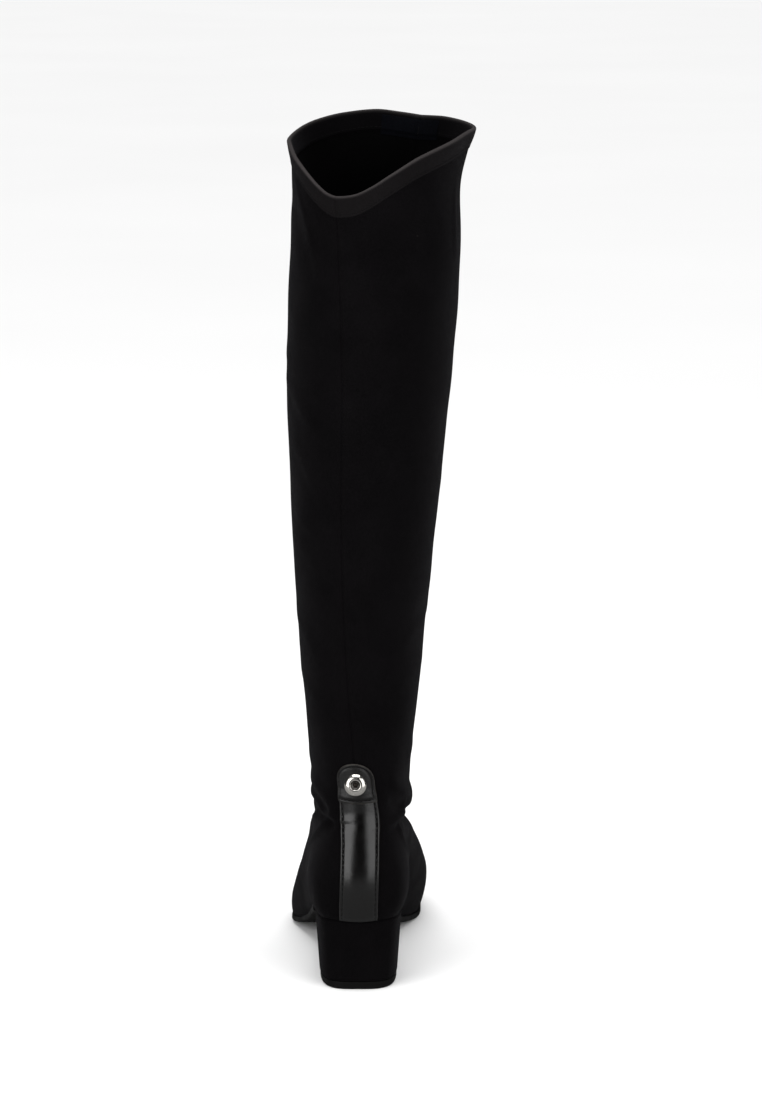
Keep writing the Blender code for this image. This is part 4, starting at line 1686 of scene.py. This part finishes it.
@dataclass
class BackStrip:
    """The glossy leather strip that covers the back seam over the heel."""

    back: BackSurface
    width: float = 21.9 * MM
    thick: float = 1.3 * MM
    top: float = 115 * MM
    gap: float = 0.3 * MM
    sunk: float = 0.25 * MM
    foot_clearance: float = 0.5 * MM
    bow: float = 0.54 * MM
    padding: float = 0.9 * MM
    padded: float = 17 * MM
    pale_edge: float = 1.0 * MM
    rows: int = 76
    stitch: Stitch = Stitch(3.0 * MM, 2.35 * MM)

    def foot_height(self, across: Array) -> Array:
        """Height of the strip's lower edge, which follows the sole's seam."""
        low = self.back.heights[0] + self.foot_clearance
        return low + self.bow * (2 * across / self.width) ** 2

    def swell(self, height: Array) -> Array:
        """How far the padding under the strip's upper end lifts it."""
        return self.padding * bell(height - self.top + self.padded, 0.62 * self.padded)

    def build(self, wardrobe: Wardrobe) -> bpy.types.Object:
        """Builds the strip."""
        ends = np.array([0.0, 0.1, 0.25, 0.45, 0.7, 1.0, 1.35, 1.6, 1.75, 1.9, 2.2, 2.8, 3.6]) * MM
        half = self.width / 2
        across = np.concatenate([ends, np.linspace(4.6 * MM, half, 8)]) - half
        across = np.concatenate([across, -across[-2::-1]])
        length = self.top - self.back.heights[0]
        start = np.array([0.0, 0.15, 0.4, 0.8]) * MM
        up = np.concatenate([start, np.linspace(1.6 * MM, length, self.rows)])
        wide, high = np.meshgrid(across, up)
        height = mix(self.foot_height(wide), self.top + 0 * wide, high / length)
        away = half - np.abs(wide)
        bottom = strip_profile(np.minimum(away, high + 0.4 * MM), self.thick)
        raised = np.where(high < 0.9 * MM, bottom, strip_profile(away, self.thick))
        raised = raised + self.swell(height)
        seat = self.gap - self.sunk
        points, faces = add_plate(
            self.back.point(wide, height, seat + raised), self.back.point(wide, height, seat)
        )
        piece = make_mesh("back_strip_leather", points, faces)
        near = np.clip(1 - np.tile(away.ravel(), 2) / self.pale_edge, 0, 1)
        set_point_value(piece, "edge", carry_over(piece, points, near))
        piece.data.materials.append(wardrobe.strip_leather)
        return settle(piece, ["back_strip"])

    def stitches(self, tree: StitchTree, wardrobe: Wardrobe) -> bpy.types.Object:
        """Builds the two rows of stitches inside the strip's edges."""
        height = np.linspace(self.back.heights[0] + 2.0 * MM, self.top - 4.6 * MM, 80)
        groove = float(strip_profile(np.array(STITCH_INSET), self.thick))
        lift = self.gap - self.sunk + groove + self.swell(height) + 0.05 * MM
        lines = []
        for side in (-1, 1):
            across = np.full(80, side * (self.width / 2 - STITCH_INSET))
            lines.append(facing_of(lambda out, a=across: self.back.point(a, height, lift + out)))
        piece = tree.lay("strip_stitches", lines, self.stitch, wardrobe.thread)
        return settle(piece)


@dataclass
class Tab:
    """The round-ended leather tab over the strip's top, which carries the stud."""

    strip: BackStrip
    lap: float = 3.5 * MM
    tall: float = 23.2 * MM
    width: float = 21.8 * MM
    thick: float = 1.5 * MM
    corner: float = 1.2 * MM
    roll: float = 0.7 * MM
    roll_middle: float = 1.5 * MM
    bend: float = 40 * MM
    pale_edge: float = 1.1 * MM
    stitch: Stitch = Stitch(2.4 * MM, 1.9 * MM)

    @property
    def middle(self) -> float:
        """Height of the middle of the round top."""
        return self.strip.top - self.lap + self.tall - self.width / 2

    def seat(self, height: Array) -> Array:
        """How far the tab's inner face stands off the upper."""
        gap, below = self.strip.gap, self.strip.thick
        over = gap + below + 0.1 * MM
        return mix(over, gap - 0.2 * MM, ease((height - self.strip.top - gap) / (3 * below)))

    def outline(self) -> Array:
        """The tab's outline, across and up from the middle of its round top."""
        radius, corner = self.width / 2, self.corner
        foot = self.strip.top - self.lap - self.middle
        quarter = np.linspace(0, math.pi / 2, 6)
        low_right = np.stack(
            [
                radius - corner + corner * np.sin(quarter),
                foot + corner - corner * np.cos(quarter),
            ],
            1,
        )
        side = np.stack([np.full(9, radius), np.linspace(foot + corner, 0, 11)[1:-1]], 1)
        arc = np.linspace(0, math.pi, 49)
        top = radius * np.stack([np.cos(arc), np.sin(arc)], 1)
        right = np.concatenate([low_right, side])
        left = right[::-1] * np.array([-1, 1])
        along = np.linspace(corner - radius, radius - corner, 19)[1:-1]
        bottom = np.stack([along, np.full_like(along, foot)], 1)
        return np.concatenate([right, top, left, bottom])

    def point(self, across: Array, height: Array, out: Array | float) -> Array:
        """Points over the tab's inner face, drawn in by what its stand-off would spread them."""
        seat = self.seat(height)
        return self.strip.back.point(across / (1 + seat / self.bend), height, seat + out)

    def face_point(self, across: Array, height: Array) -> Array:
        """Points of the tab's outer face in its padded middle."""
        return self.point(across, height, self.thick * 0.97)

    def rolled(self, flat: Array, away: Array) -> Array:
        """How far the tab's border stands up on its outer side."""
        radius = self.width / 2
        side = ease((-flat[..., 0] / radius - 0.1) / 0.7)
        side = side * ease((flat[..., 1] + radius) / (4 * MM))
        border = bell(away - self.roll_middle, self.roll_middle) * ease(away / (0.6 * MM))
        return self.roll * side * border

    def build(self, wardrobe: Wardrobe) -> bpy.types.Object:
        """Builds the tab."""
        outline = self.outline()
        count = len(outline)
        inwards = [0.0, 0.1, 0.3, 0.6, 1.0, 1.4, 1.7, 2.0, 2.6, 3.6, 5.0, 7.0, 9.0, 10.6]
        inwards = np.array(inwards) * MM
        radius = self.width / 2
        share = 1 - inwards / radius
        flat = outline[None] * share[:, None, None]
        away = np.broadcast_to(inwards[:, None], (len(inwards), count))
        raised = strip_profile(away, self.thick) + self.rolled(flat, away)
        height = self.middle + flat[..., 1]
        above = self.point(flat[..., 0], height, raised)
        below = self.point(flat[..., 0], height, 0 * raised)
        rings = np.concatenate([above[::-1], below])
        faces = grid_faces(len(rings), count, closed_columns=True)
        top_pole, low_pole = rings[0].mean(0), rings[-1].mean(0)
        points = np.concatenate([rings.reshape(-1, 3), [top_pole, low_pole]])
        total, ring = len(rings) * count, np.arange(count)
        following = np.roll(ring, -1)
        fans = [(total, int(a), int(b)) for a, b in zip(following, ring)]
        start = total - count
        fans += [(total + 1, start + int(a), start + int(b)) for a, b in zip(ring, following)]
        piece = make_mesh("back_tab_leather", points, [*faces.tolist(), *fans], merge=False)
        shape = bmesh.new()
        shape.from_mesh(piece.data)
        bmesh.ops.recalc_face_normals(shape, faces=shape.faces)
        shape.to_mesh(piece.data)
        shape.free()
        distances = np.concatenate([away[::-1].ravel(), away.ravel(), [1.0, 1.0]])
        # Pale band along the tab's rim: edge wear together with a painted highlight.
        set_point_value(piece, "edge", np.clip(1 - distances / self.pale_edge, 0, 1))
        piece.data.materials.append(wardrobe.tab_leather)
        return settle(piece, ["back_tab"])

    def stitches(self, tree: StitchTree, wardrobe: Wardrobe) -> bpy.types.Object:
        """Builds the row of stitches that holds the tab down on the strip."""
        reach = self.width / 2 - 2.2 * MM
        across = np.linspace(-reach, reach, 40)
        height = np.full(40, self.strip.top - self.lap + STITCH_INSET)
        lift = float(strip_profile(np.array(STITCH_INSET), self.thick)) + 0.06 * MM
        line = facing_of(lambda out: self.point(across, height, lift + out))
        piece = tree.lay("tab_stitches", [line], self.stitch, wardrobe.thread)
        return settle(piece)


# The stud's turned face between its curved stretches: shares of its radius and of its height.
STUD_WELL = (
    (0.195, 0.36), (0.22, 0.34), (0.26, 0.40), (0.32, 0.52), (0.38, 0.68), (0.42, 0.82),
    (0.45, 0.93),
)
STUD_CREST = ((0.475, 0.975), (0.505, 0.995), (0.54, 1.0))
STUD_FOOT = (
    (0.995, 0.49), (1.0, 0.42), (0.99, 0.30), (0.965, 0.14), (0.93, 0.04), (0.88, 0.0), (0.5, 0.0),
)


@dataclass
class Stud:
    """The turned metal stud: a ring that slopes outwards, about a small core sunk in a well."""

    tab: Tab
    diameter: float = 12.8 * MM
    drop: float = 1.1 * MM
    height: float = 3 * MM
    shank_radius: float = 1.6 * MM
    gap: float = 0.3 * MM
    segments: int = 96
    marks: int = 26
    marks_radius: float = 0.74
    marks_level: float = 0.90
    mark_length: float = 1.2 * MM
    mark_width: float = 0.26 * MM
    mark_height: float = 0.10 * MM

    def place(self) -> tuple[Array, Array, Array, Array]:
        """The stud's foot, and its axes across, up and out."""
        arm, middle = self.diameter / 2, self.tab.middle - self.drop
        spots = [(0, 0), (arm, 0), (-arm, 0), (0, arm), (0, -arm)]
        angles = np.linspace(0, 2 * math.pi, 17)[:-1]
        rim = [(arm * math.sin(a), arm * math.cos(a)) for a in angles]
        across = np.array([s[0] for s in spots + rim])
        height = middle + np.array([s[1] for s in spots + rim])
        found = self.tab.face_point(across, height)
        out = unit(np.cross(found[1] - found[2], found[3] - found[4]))
        clear = max(0.0, float(((found[5:] - found[0]) @ out).max())) + self.gap
        side = unit(found[1] - found[2])
        return found[0] + out * clear, side, np.cross(out, side), out

    def profile(self) -> Array:
        """Radius and height of the turned face, from its middle to the shank."""
        quarter = np.linspace(0, math.pi / 2, 7)
        dome = [(0.18 * math.sin(a), 0.40 + 0.14 * math.cos(a)) for a in quarter]
        shares = np.linspace(0.58, 0.98, 14)
        slope = [(s, 1.0 - 0.46 * ((s - 0.54) / 0.44) ** 2) for s in shares]
        shape = [*dome, *STUD_WELL, *STUD_CREST, *slope, *STUD_FOOT]
        return np.array(shape) * np.array([self.diameter / 2, self.height])

    def build(self, wardrobe: Wardrobe) -> bpy.types.Object:
        """Builds the stud and its shank."""
        profile = self.profile()
        shank = np.array([(self.shank_radius, 0.0), (self.shank_radius, -self.tab.thick)])
        profile = np.concatenate([profile, shank])
        base, side, up, out = self.place()
        angle = np.linspace(0, 2 * math.pi, self.segments, endpoint=False)
        ring = np.cos(angle)[:, None] * side + np.sin(angle)[:, None] * up
        radius, high = profile[:, 0], profile[:, 1]
        grid = base + radius[1:, None, None] * ring[None] + high[1:, None, None] * out
        rows = len(profile) - 1
        poles = [base + high[0] * out, base + high[-1] * out]
        points = np.concatenate([grid.reshape(-1, 3), poles])
        faces = grid_faces(rows, self.segments, closed_columns=True).tolist()
        total = rows * self.segments
        ring_index = list(range(self.segments))
        following = ring_index[1:] + ring_index[:1]
        faces += [(total, a, b) for a, b in zip(ring_index, following)]
        start = total - self.segments
        faces += [(total + 1, start + b, start + a) for a, b in zip(ring_index, following)]
        piece = make_mesh("stud_metal_face", points, faces, sharp=50)
        share = profile[1:, 0] / (self.diameter / 2)
        recess = 0.62 * ease((0.47 - share) / 0.05) + 0.35 * ease((0.26 - share) / 0.05)
        values = np.concatenate([np.repeat(np.clip(recess, 0, 1), self.segments), [0.95, 0.0]])
        set_point_value(piece, "edge", carry_over(piece, points, values))
        piece.data.materials.append(wardrobe.metal)
        return settle(piece, ["stud"])

    def radial_marks(self, tree: StitchTree, wardrobe: Wardrobe) -> bpy.types.Object:
        """Builds the short radial marks on the ring's slope."""
        base, side, up, out = self.place()
        radius = self.marks_radius * self.diameter / 2
        angle = np.linspace(0, 2 * math.pi, 145)
        way = np.cos(angle)[:, None] * side + np.sin(angle)[:, None] * up
        line = base + radius * way + self.height * self.marks_level * out
        facing = np.broadcast_to(out, line.shape)
        pitch = 2 * math.pi * radius / self.marks
        mark = Stitch(pitch, self.mark_length, self.mark_width, self.mark_height, math.pi / 2)
        piece = tree.lay("stud_marks", [(line, facing)], mark, wardrobe.metal)
        set_point_value(piece, "edge", np.full(len(piece.data.vertices), 0.5))
        return settle(piece)


@dataclass
class Heel:
    """The cloth-covered block heel and its rubber top lift."""

    last: Last
    breast_length: float = 57 * MM
    foot_width: float = 46 * MM
    foot_length: float = 48 * MM
    undercut: float = 5 * MM
    squareness: float = 0.55
    lift_thick: float = 4.5 * MM
    lift_inset: float = 0.5 * MM
    lift_round: float = 1.2 * MM
    points: int = 120
    rings: int = 44
    across: int = 24
    lift_across: int = 20
    breast_round: float = 1.4 * MM
    edge_round: float = 0.7 * MM
    edge_reach: float = 0.9 * MM
    weave_radius: float = 24 * MM

    @property
    def breast_turn(self) -> float:
        """Where the breast line meets the sole edge, in turns from the back."""
        return math.acos(1 - 2 * self.breast_length / self.last.length) / (2 * math.pi)

    def ring(self, down: float, inset: float = 0.0) -> Array:
        """Outline of the heel, from its seat, 0, to its foot, 1, with rounded breast corners."""
        start = self.breast_turn
        share = np.linspace(0, 1, self.points)
        share = share - np.sin(4 * math.pi * share) / (8 * math.pi)
        seat = self.last.plan(mix(start, -start, share), -inset if down < 1 else 0.0)
        seat[:, 2] = self.last.edge_height(seat[:, 1])
        angle = math.pi * (share - 0.5)
        across = np.copysign(np.abs(np.sin(angle)) ** self.squareness, angle)
        length = self.foot_length - 2 * inset
        foot_y = length * (1 - np.cos(angle) ** self.squareness) + self.undercut + inset
        foot = np.stack(
            [
                (self.foot_width / 2 - inset) * across,
                foot_y - self.last.heel_setback,
                np.full_like(across, self.lift_thick + self.last.gap),
            ],
            1,
        )
        ring = mix(seat, foot, down)
        front = ring[[0, -1], 1].mean()
        corner = np.clip((ring[:, 1] - front + self.breast_round) / self.breast_round, 0, 1)
        ring[:, 0] -= np.sign(ring[:, 0]) * self.breast_round * (1 - np.sqrt(1 - 0.96 * corner**2))
        return ring

    def build(self, wardrobe: Wardrobe) -> bpy.types.Object:
        """Builds the covered block."""
        rings = []
        for down in np.linspace(0, 1, self.rings):
            edge = min(down, 1 - down) * (self.last.seat_height - self.lift_thick)
            share = min(edge / self.edge_reach, 1)
            inset = self.edge_round * (1 - math.sqrt(share * (2 - share)))
            rings.append(self.ring(float(down), inset))
        piece = make_mesh("heel_cover", *add_stack(np.array(rings), self.across), sharp=45)
        corners = corner_points(piece)
        girth = np.arctan2(corners[:, 0], 10 * MM - corners[:, 1]) * self.weave_radius
        set_uv(piece, "weave", np.stack([girth, corners[:, 2]], 1))
        piece.data.materials.append(wardrobe.heel_cloth)
        return settle(piece, ["heel"])

    @staticmethod
    def shifted(ring: Array, inwards: float) -> Array:
        """A ring moved towards its middle."""
        way = unit((ring - ring.mean(0)) * np.array([1, 1, 0]))
        return ring - way * inwards

    def build_lift(self, wardrobe: Wardrobe) -> bpy.types.Object:
        """Builds the top lift, rounded off at the floor."""
        outline = self.ring(1.0, self.lift_inset)
        top, low_edge = self.lift_thick, self.lift_round
        steps = [(top, 0.25 * MM), (top - 0.1 * MM, 0.08 * MM), (top - 0.3 * MM, 0.0)]
        steps += [(height * MM, 0.0) for height in (3.6, 2.8, 2.0, 1.6)]
        for angle in np.linspace(0, math.pi / 2, 8):
            steps.append((low_edge * (1 - math.sin(angle)), low_edge * (1 - math.cos(angle))))
        steps.append((0.0, low_edge + 0.8 * MM))
        rings = []
        for height, inwards in steps:
            ring = self.shifted(outline, inwards)
            ring[:, 2] = height
            rings.append(ring)
        points, faces = add_stack(np.array(rings), self.lift_across)
        piece = make_mesh("top_lift_rubber", points, faces, sharp=45)
        z = mesh_points(piece)[:, 2]
        set_point_value(piece, "edge", 0.55 * bell(z - 0.6 * MM, 0.9 * MM))
        piece.data.materials.append(wardrobe.lift_rubber)
        return settle(piece, ["top_lift"])


# How far short of their tips the outlines of sole and insole stop, in turns.
TIP_TURN = 0.0015


@dataclass
class Outsole:
    """The thin rubber outsole from the heel's breast to the toe."""

    last: Last
    heel: Heel
    margin: float = 0.8 * MM
    points: int = 240
    across: int = 44
    edge_round: float = 0.9 * MM
    rib_depth: float = 0.28 * MM
    rib_pitch: float = 3.2 * MM
    rib_border: float = 3.5 * MM
    rib_fade: float = 1.5 * MM
    ribs_from: float = 75 * MM
    ribs_to: float = 212 * MM
    scuffed_height: float = 3.0 * MM

    def ring(self, down: float, grow: float) -> Array:
        """Outline of the sole, down from its top face, moved outwards by grow."""
        start = self.heel.breast_turn
        half = np.linspace(0, 1, self.points // 2)
        half = start + (0.5 - start - TIP_TURN) * np.sin(half * math.pi / 2) ** 1.05
        turn = np.concatenate([half, (1 - half)[::-1]])
        ring = self.last.plan(turn, grow)
        front = self.heel.breast_length - self.last.heel_setback + self.last.gap
        ring[[0, -1], 1] = front
        ring[:, 2] = self.last.edge_height(ring[:, 1]) - self.last.sole_thick * down
        return ring

    def build(self, wardrobe: Wardrobe) -> bpy.types.Object:
        """Builds the outsole with its rounded edge and ribbed tread."""
        margin = self.margin
        steps = [(0.0, margin - 0.35 * MM), (0.03, margin - 0.12 * MM), (0.10, margin)]
        steps += [(down, margin) for down in (0.25, 0.4, 0.55, 0.68)]
        for angle in np.linspace(0.1, math.pi / 2, 7):
            grow = margin - self.edge_round * (1 - math.cos(angle))
            steps.append((0.72 + 0.28 * math.sin(angle), grow))
        rings = np.array([self.ring(down, grow) for down, grow in steps])
        points, faces = add_stack(rings, self.across)
        piece = make_mesh("outsole_rubber", points, faces, sharp=50)
        self.add_tread(piece)
        piece.data.materials.append(wardrobe.sole_rubber)
        return settle(piece, ["outsole"])

    def add_tread(self, piece: bpy.types.Object) -> None:
        """Presses fine cross ribs into the underside and marks the scuffed edge."""
        points = mesh_points(piece)
        top = self.last.edge_height(points[:, 1])
        under = ease(((top - points[:, 2]) / self.last.sole_thick - 0.97) / 0.03)
        low = self.ring(1.0, -self.rib_border)
        half = len(low) // 2
        left = np.interp(points[:, 1], low[:half, 1], low[:half, 0])
        right = np.interp(points[:, 1], low[half:, 1][::-1], low[half:, 0][::-1])
        inside = ease((points[:, 0] - left) / self.rib_fade)
        inside = inside * ease((right - points[:, 0]) / self.rib_fade)
        ends = ease((points[:, 1] - self.ribs_from) / (2 * MM))
        ends = ends * ease((self.ribs_to - points[:, 1]) / (2 * MM))
        rib = 0.5 + 0.5 * np.sin(2 * math.pi * points[:, 1] / self.rib_pitch)
        points[:, 2] += self.rib_depth * under * inside * ends * ease(rib * 2 - 0.5)
        piece.data.vertices.foreach_set("co", points.astype(np.float32).ravel())
        floor = ease((self.scuffed_height - points[:, 2]) / self.scuffed_height)
        set_point_value(piece, "edge", 0.5 * floor)


@dataclass
class Insole:
    """The cloth-covered insole inside the upper's lower edge."""

    last: Last
    thick: float = 2.5 * MM
    play: float = 0.2 * MM
    edge_round: float = 0.8 * MM
    points: int = 200
    across: int = 30

    def build(self, wardrobe: Wardrobe) -> bpy.types.Object:
        """Builds the insole, rounded at its upper edge."""
        inset = self.last.wall + self.last.gap + self.play
        share = (1 - np.cos(np.linspace(0, 1, self.points // 2) * math.pi)) / 2
        half = mix(TIP_TURN, 0.5 - TIP_TURN, share)
        turn = np.concatenate([half, (1 - half)[::-1]])
        rings = []
        for angle in np.linspace(math.pi / 2, 0, 6):
            lift = self.thick - self.edge_round * (1 - math.sin(angle))
            rings.append(self.ring(turn, lift, inset + self.edge_round * (1 - math.cos(angle))))
        rings.append(self.ring(turn, 0.0, inset))
        points, faces = add_stack(np.array(rings), self.across)
        piece = make_mesh("insole_cover", points, faces, sharp=50)
        set_uv(piece, "weave", corner_points(piece)[:, :2])
        piece.data.materials.append(wardrobe.insole)
        return settle(piece, ["insole"])

    def ring(self, turn: Array, lift: float, inset: float) -> Array:
        """Outline of the insole at a height over the sole's top face."""
        ring = self.last.plan(turn, -inset)
        ring[:, 2] = self.last.edge_height(ring[:, 1]) + self.last.gap + lift
        return ring


# ---------------------------------------------------------------------------------------------
# Studio
# ---------------------------------------------------------------------------------------------


@dataclass(frozen=True)
class Softbox:
    """A rectangular soft light."""

    name: str
    place: tuple[float, float, float]
    aim: tuple[float, float, float]
    size: tuple[float, float]
    power: float

    def build(self) -> bpy.types.Object:
        """Hangs the light and turns it to its aim."""
        data = bpy.data.lights.new(self.name, "AREA")
        data.shape = "RECTANGLE"
        data.size, data.size_y = self.size
        data.energy = self.power
        lamp = bpy.data.objects.new(self.name, data)
        lamp.location = self.place
        way = Vector(self.aim) - Vector(self.place)
        lamp.rotation_euler = way.to_track_quat("-Z", "Y").to_euler()
        lamp.visible_camera = False
        bpy.context.scene.collection.objects.link(lamp)
        return lamp


@dataclass
class Studio:
    """Pale floor, soft lights and the photograph's camera."""

    distance: float = 2.531
    eye_height: float = 0.700
    pitch: float = math.radians(9.96)
    yaw: float = math.radians(0.30)
    lens: float = 145.4
    room: float = 0.45
    mirrored_room: float = 0.03
    mirrored_floor: float = 0.24
    backdrop: float = 0.97
    sky_light: float = 2.0
    sky_angle: float = math.radians(45)
    floor_tones: tuple[float, float] = (0.86, 0.90)
    floor_radii: tuple[float, float] = (2.0, 60.0)
    floor_corners: int = 64
    softboxes: tuple[Softbox, ...] = (
        Softbox("left_box", (-0.80, -0.88, 0.62), (0, 0, 0.62), (0.95, 1.20), 11.0),
        Softbox("right_box", (0.80, -0.88, 0.62), (0, 0, 0.62), (0.95, 1.20), 8.5),
        Softbox("top_box", (0.0, -0.6, 2.6), (0, 0, 0.2), (2.2, 1.6), 20.0),
    )

    def build(self) -> None:
        """Builds the whole studio."""
        self.build_floor()
        for softbox in self.softboxes:
            softbox.build()
        sun = bpy.data.lights.new("sky_light", "SUN")
        sun.energy = self.sky_light
        sun.angle = self.sky_angle
        lamp = bpy.data.objects.new("sky_light", sun)
        bpy.context.scene.collection.objects.link(lamp)
        world = bpy.data.worlds.new("studio")
        world.use_nodes = True
        graph = Graph(world.node_tree)
        ray = graph.node("ShaderNodeLightPath").outputs
        backdrop = world.node_tree.nodes["Background"]
        backdrop.inputs["Color"].default_value = (1, 1, 1, 1)
        less, more = self.mirrored_room - self.room, self.backdrop - self.room
        dimmed = graph.math("MULTIPLY_ADD", ray["Is Glossy Ray"], less, self.room)
        strength = graph.math("MULTIPLY_ADD", ray["Is Camera Ray"], more, dimmed)
        graph.link(strength, backdrop.inputs["Strength"])
        bpy.context.scene.world = world
        bpy.context.scene.view_settings.view_transform = "Standard"
        self.build_camera()

    def build_floor(self) -> None:
        """Lays a wide pale floor."""
        mesh = bpy.data.meshes.new("floor")
        count = self.floor_corners
        angle = np.linspace(0, 2 * math.pi, count + 1)[:-1]
        circle = np.stack([np.cos(angle), np.sin(angle), 0 * angle], 1)
        points = np.concatenate([np.zeros((1, 3)), *(r * circle for r in self.floor_radii)])
        fan = [(0, 1 + i, 1 + (i + 1) % count) for i in range(count)]
        band = (grid_faces(2, count, closed_columns=True) + 1)[:, ::-1].tolist()
        mesh.from_pydata(points.tolist(), [], [*fan, *band])
        floor = bpy.data.objects.new("floor", mesh)
        bpy.context.scene.collection.objects.link(floor)
        material, graph, shader = start_material(
            "pale floor", Roughness=0.9, Specular_IOR_Level=0.1
        )
        place = graph.place()
        noise = graph.node("ShaderNodeTexNoise", {"Vector": place, "Scale": 1.5, "Detail": 2.0})
        dark, pale = self.floor_tones
        tone = blend_colours(graph, noise.outputs[0], (dark,) * 3, (pale,) * 3)
        mirrored = graph.node("ShaderNodeLightPath").outputs["Is Glossy Ray"]
        seen = cover(graph, mirrored, tone, (self.mirrored_floor,) * 3)
        graph.link(seen, shader.inputs["Base Color"])
        mesh.materials.append(material)

    def build_camera(self) -> None:
        """Places the camera straight behind the boot, a little above it."""
        data = bpy.data.cameras.new("camera")
        data.sensor_fit = "VERTICAL"
        data.sensor_height = 36.0
        data.lens = self.lens
        data.clip_end = 200.0
        camera = bpy.data.objects.new("camera", data)
        camera.location = (0.0, -self.distance, self.eye_height)
        camera.rotation_euler = (math.pi / 2 - self.pitch, 0.0, -self.yaw)
        bpy.context.scene.collection.objects.link(camera)
        bpy.context.scene.camera = camera


def main() -> None:
    """Builds the boot and its studio, piece by piece."""
    logging.basicConfig(level=logging.INFO, format="%(name)s: %(message)s")
    wardrobe = Wardrobe.build(Effects())
    tree = StitchTree()
    last = Last()
    skin = Skin(last)
    Upper(skin).build(wardrobe)
    HemStitches(skin).build(tree, wardrobe)
    FacingTape(skin).build(tree, wardrobe)
    strip = BackStrip(BackSurface(skin))
    strip.build(wardrobe)
    strip.stitches(tree, wardrobe)
    tab = Tab(strip)
    tab.build(wardrobe)
    tab.stitches(tree, wardrobe)
    stud = Stud(tab)
    stud.build(wardrobe)
    stud.radial_marks(tree, wardrobe)
    heel = Heel(last)
    heel.build(wardrobe)
    heel.build_lift(wardrobe)
    Outsole(last, heel).build(wardrobe)
    Insole(last).build(wardrobe)
    Studio().build()


if __name__ == "__main__":
    main()
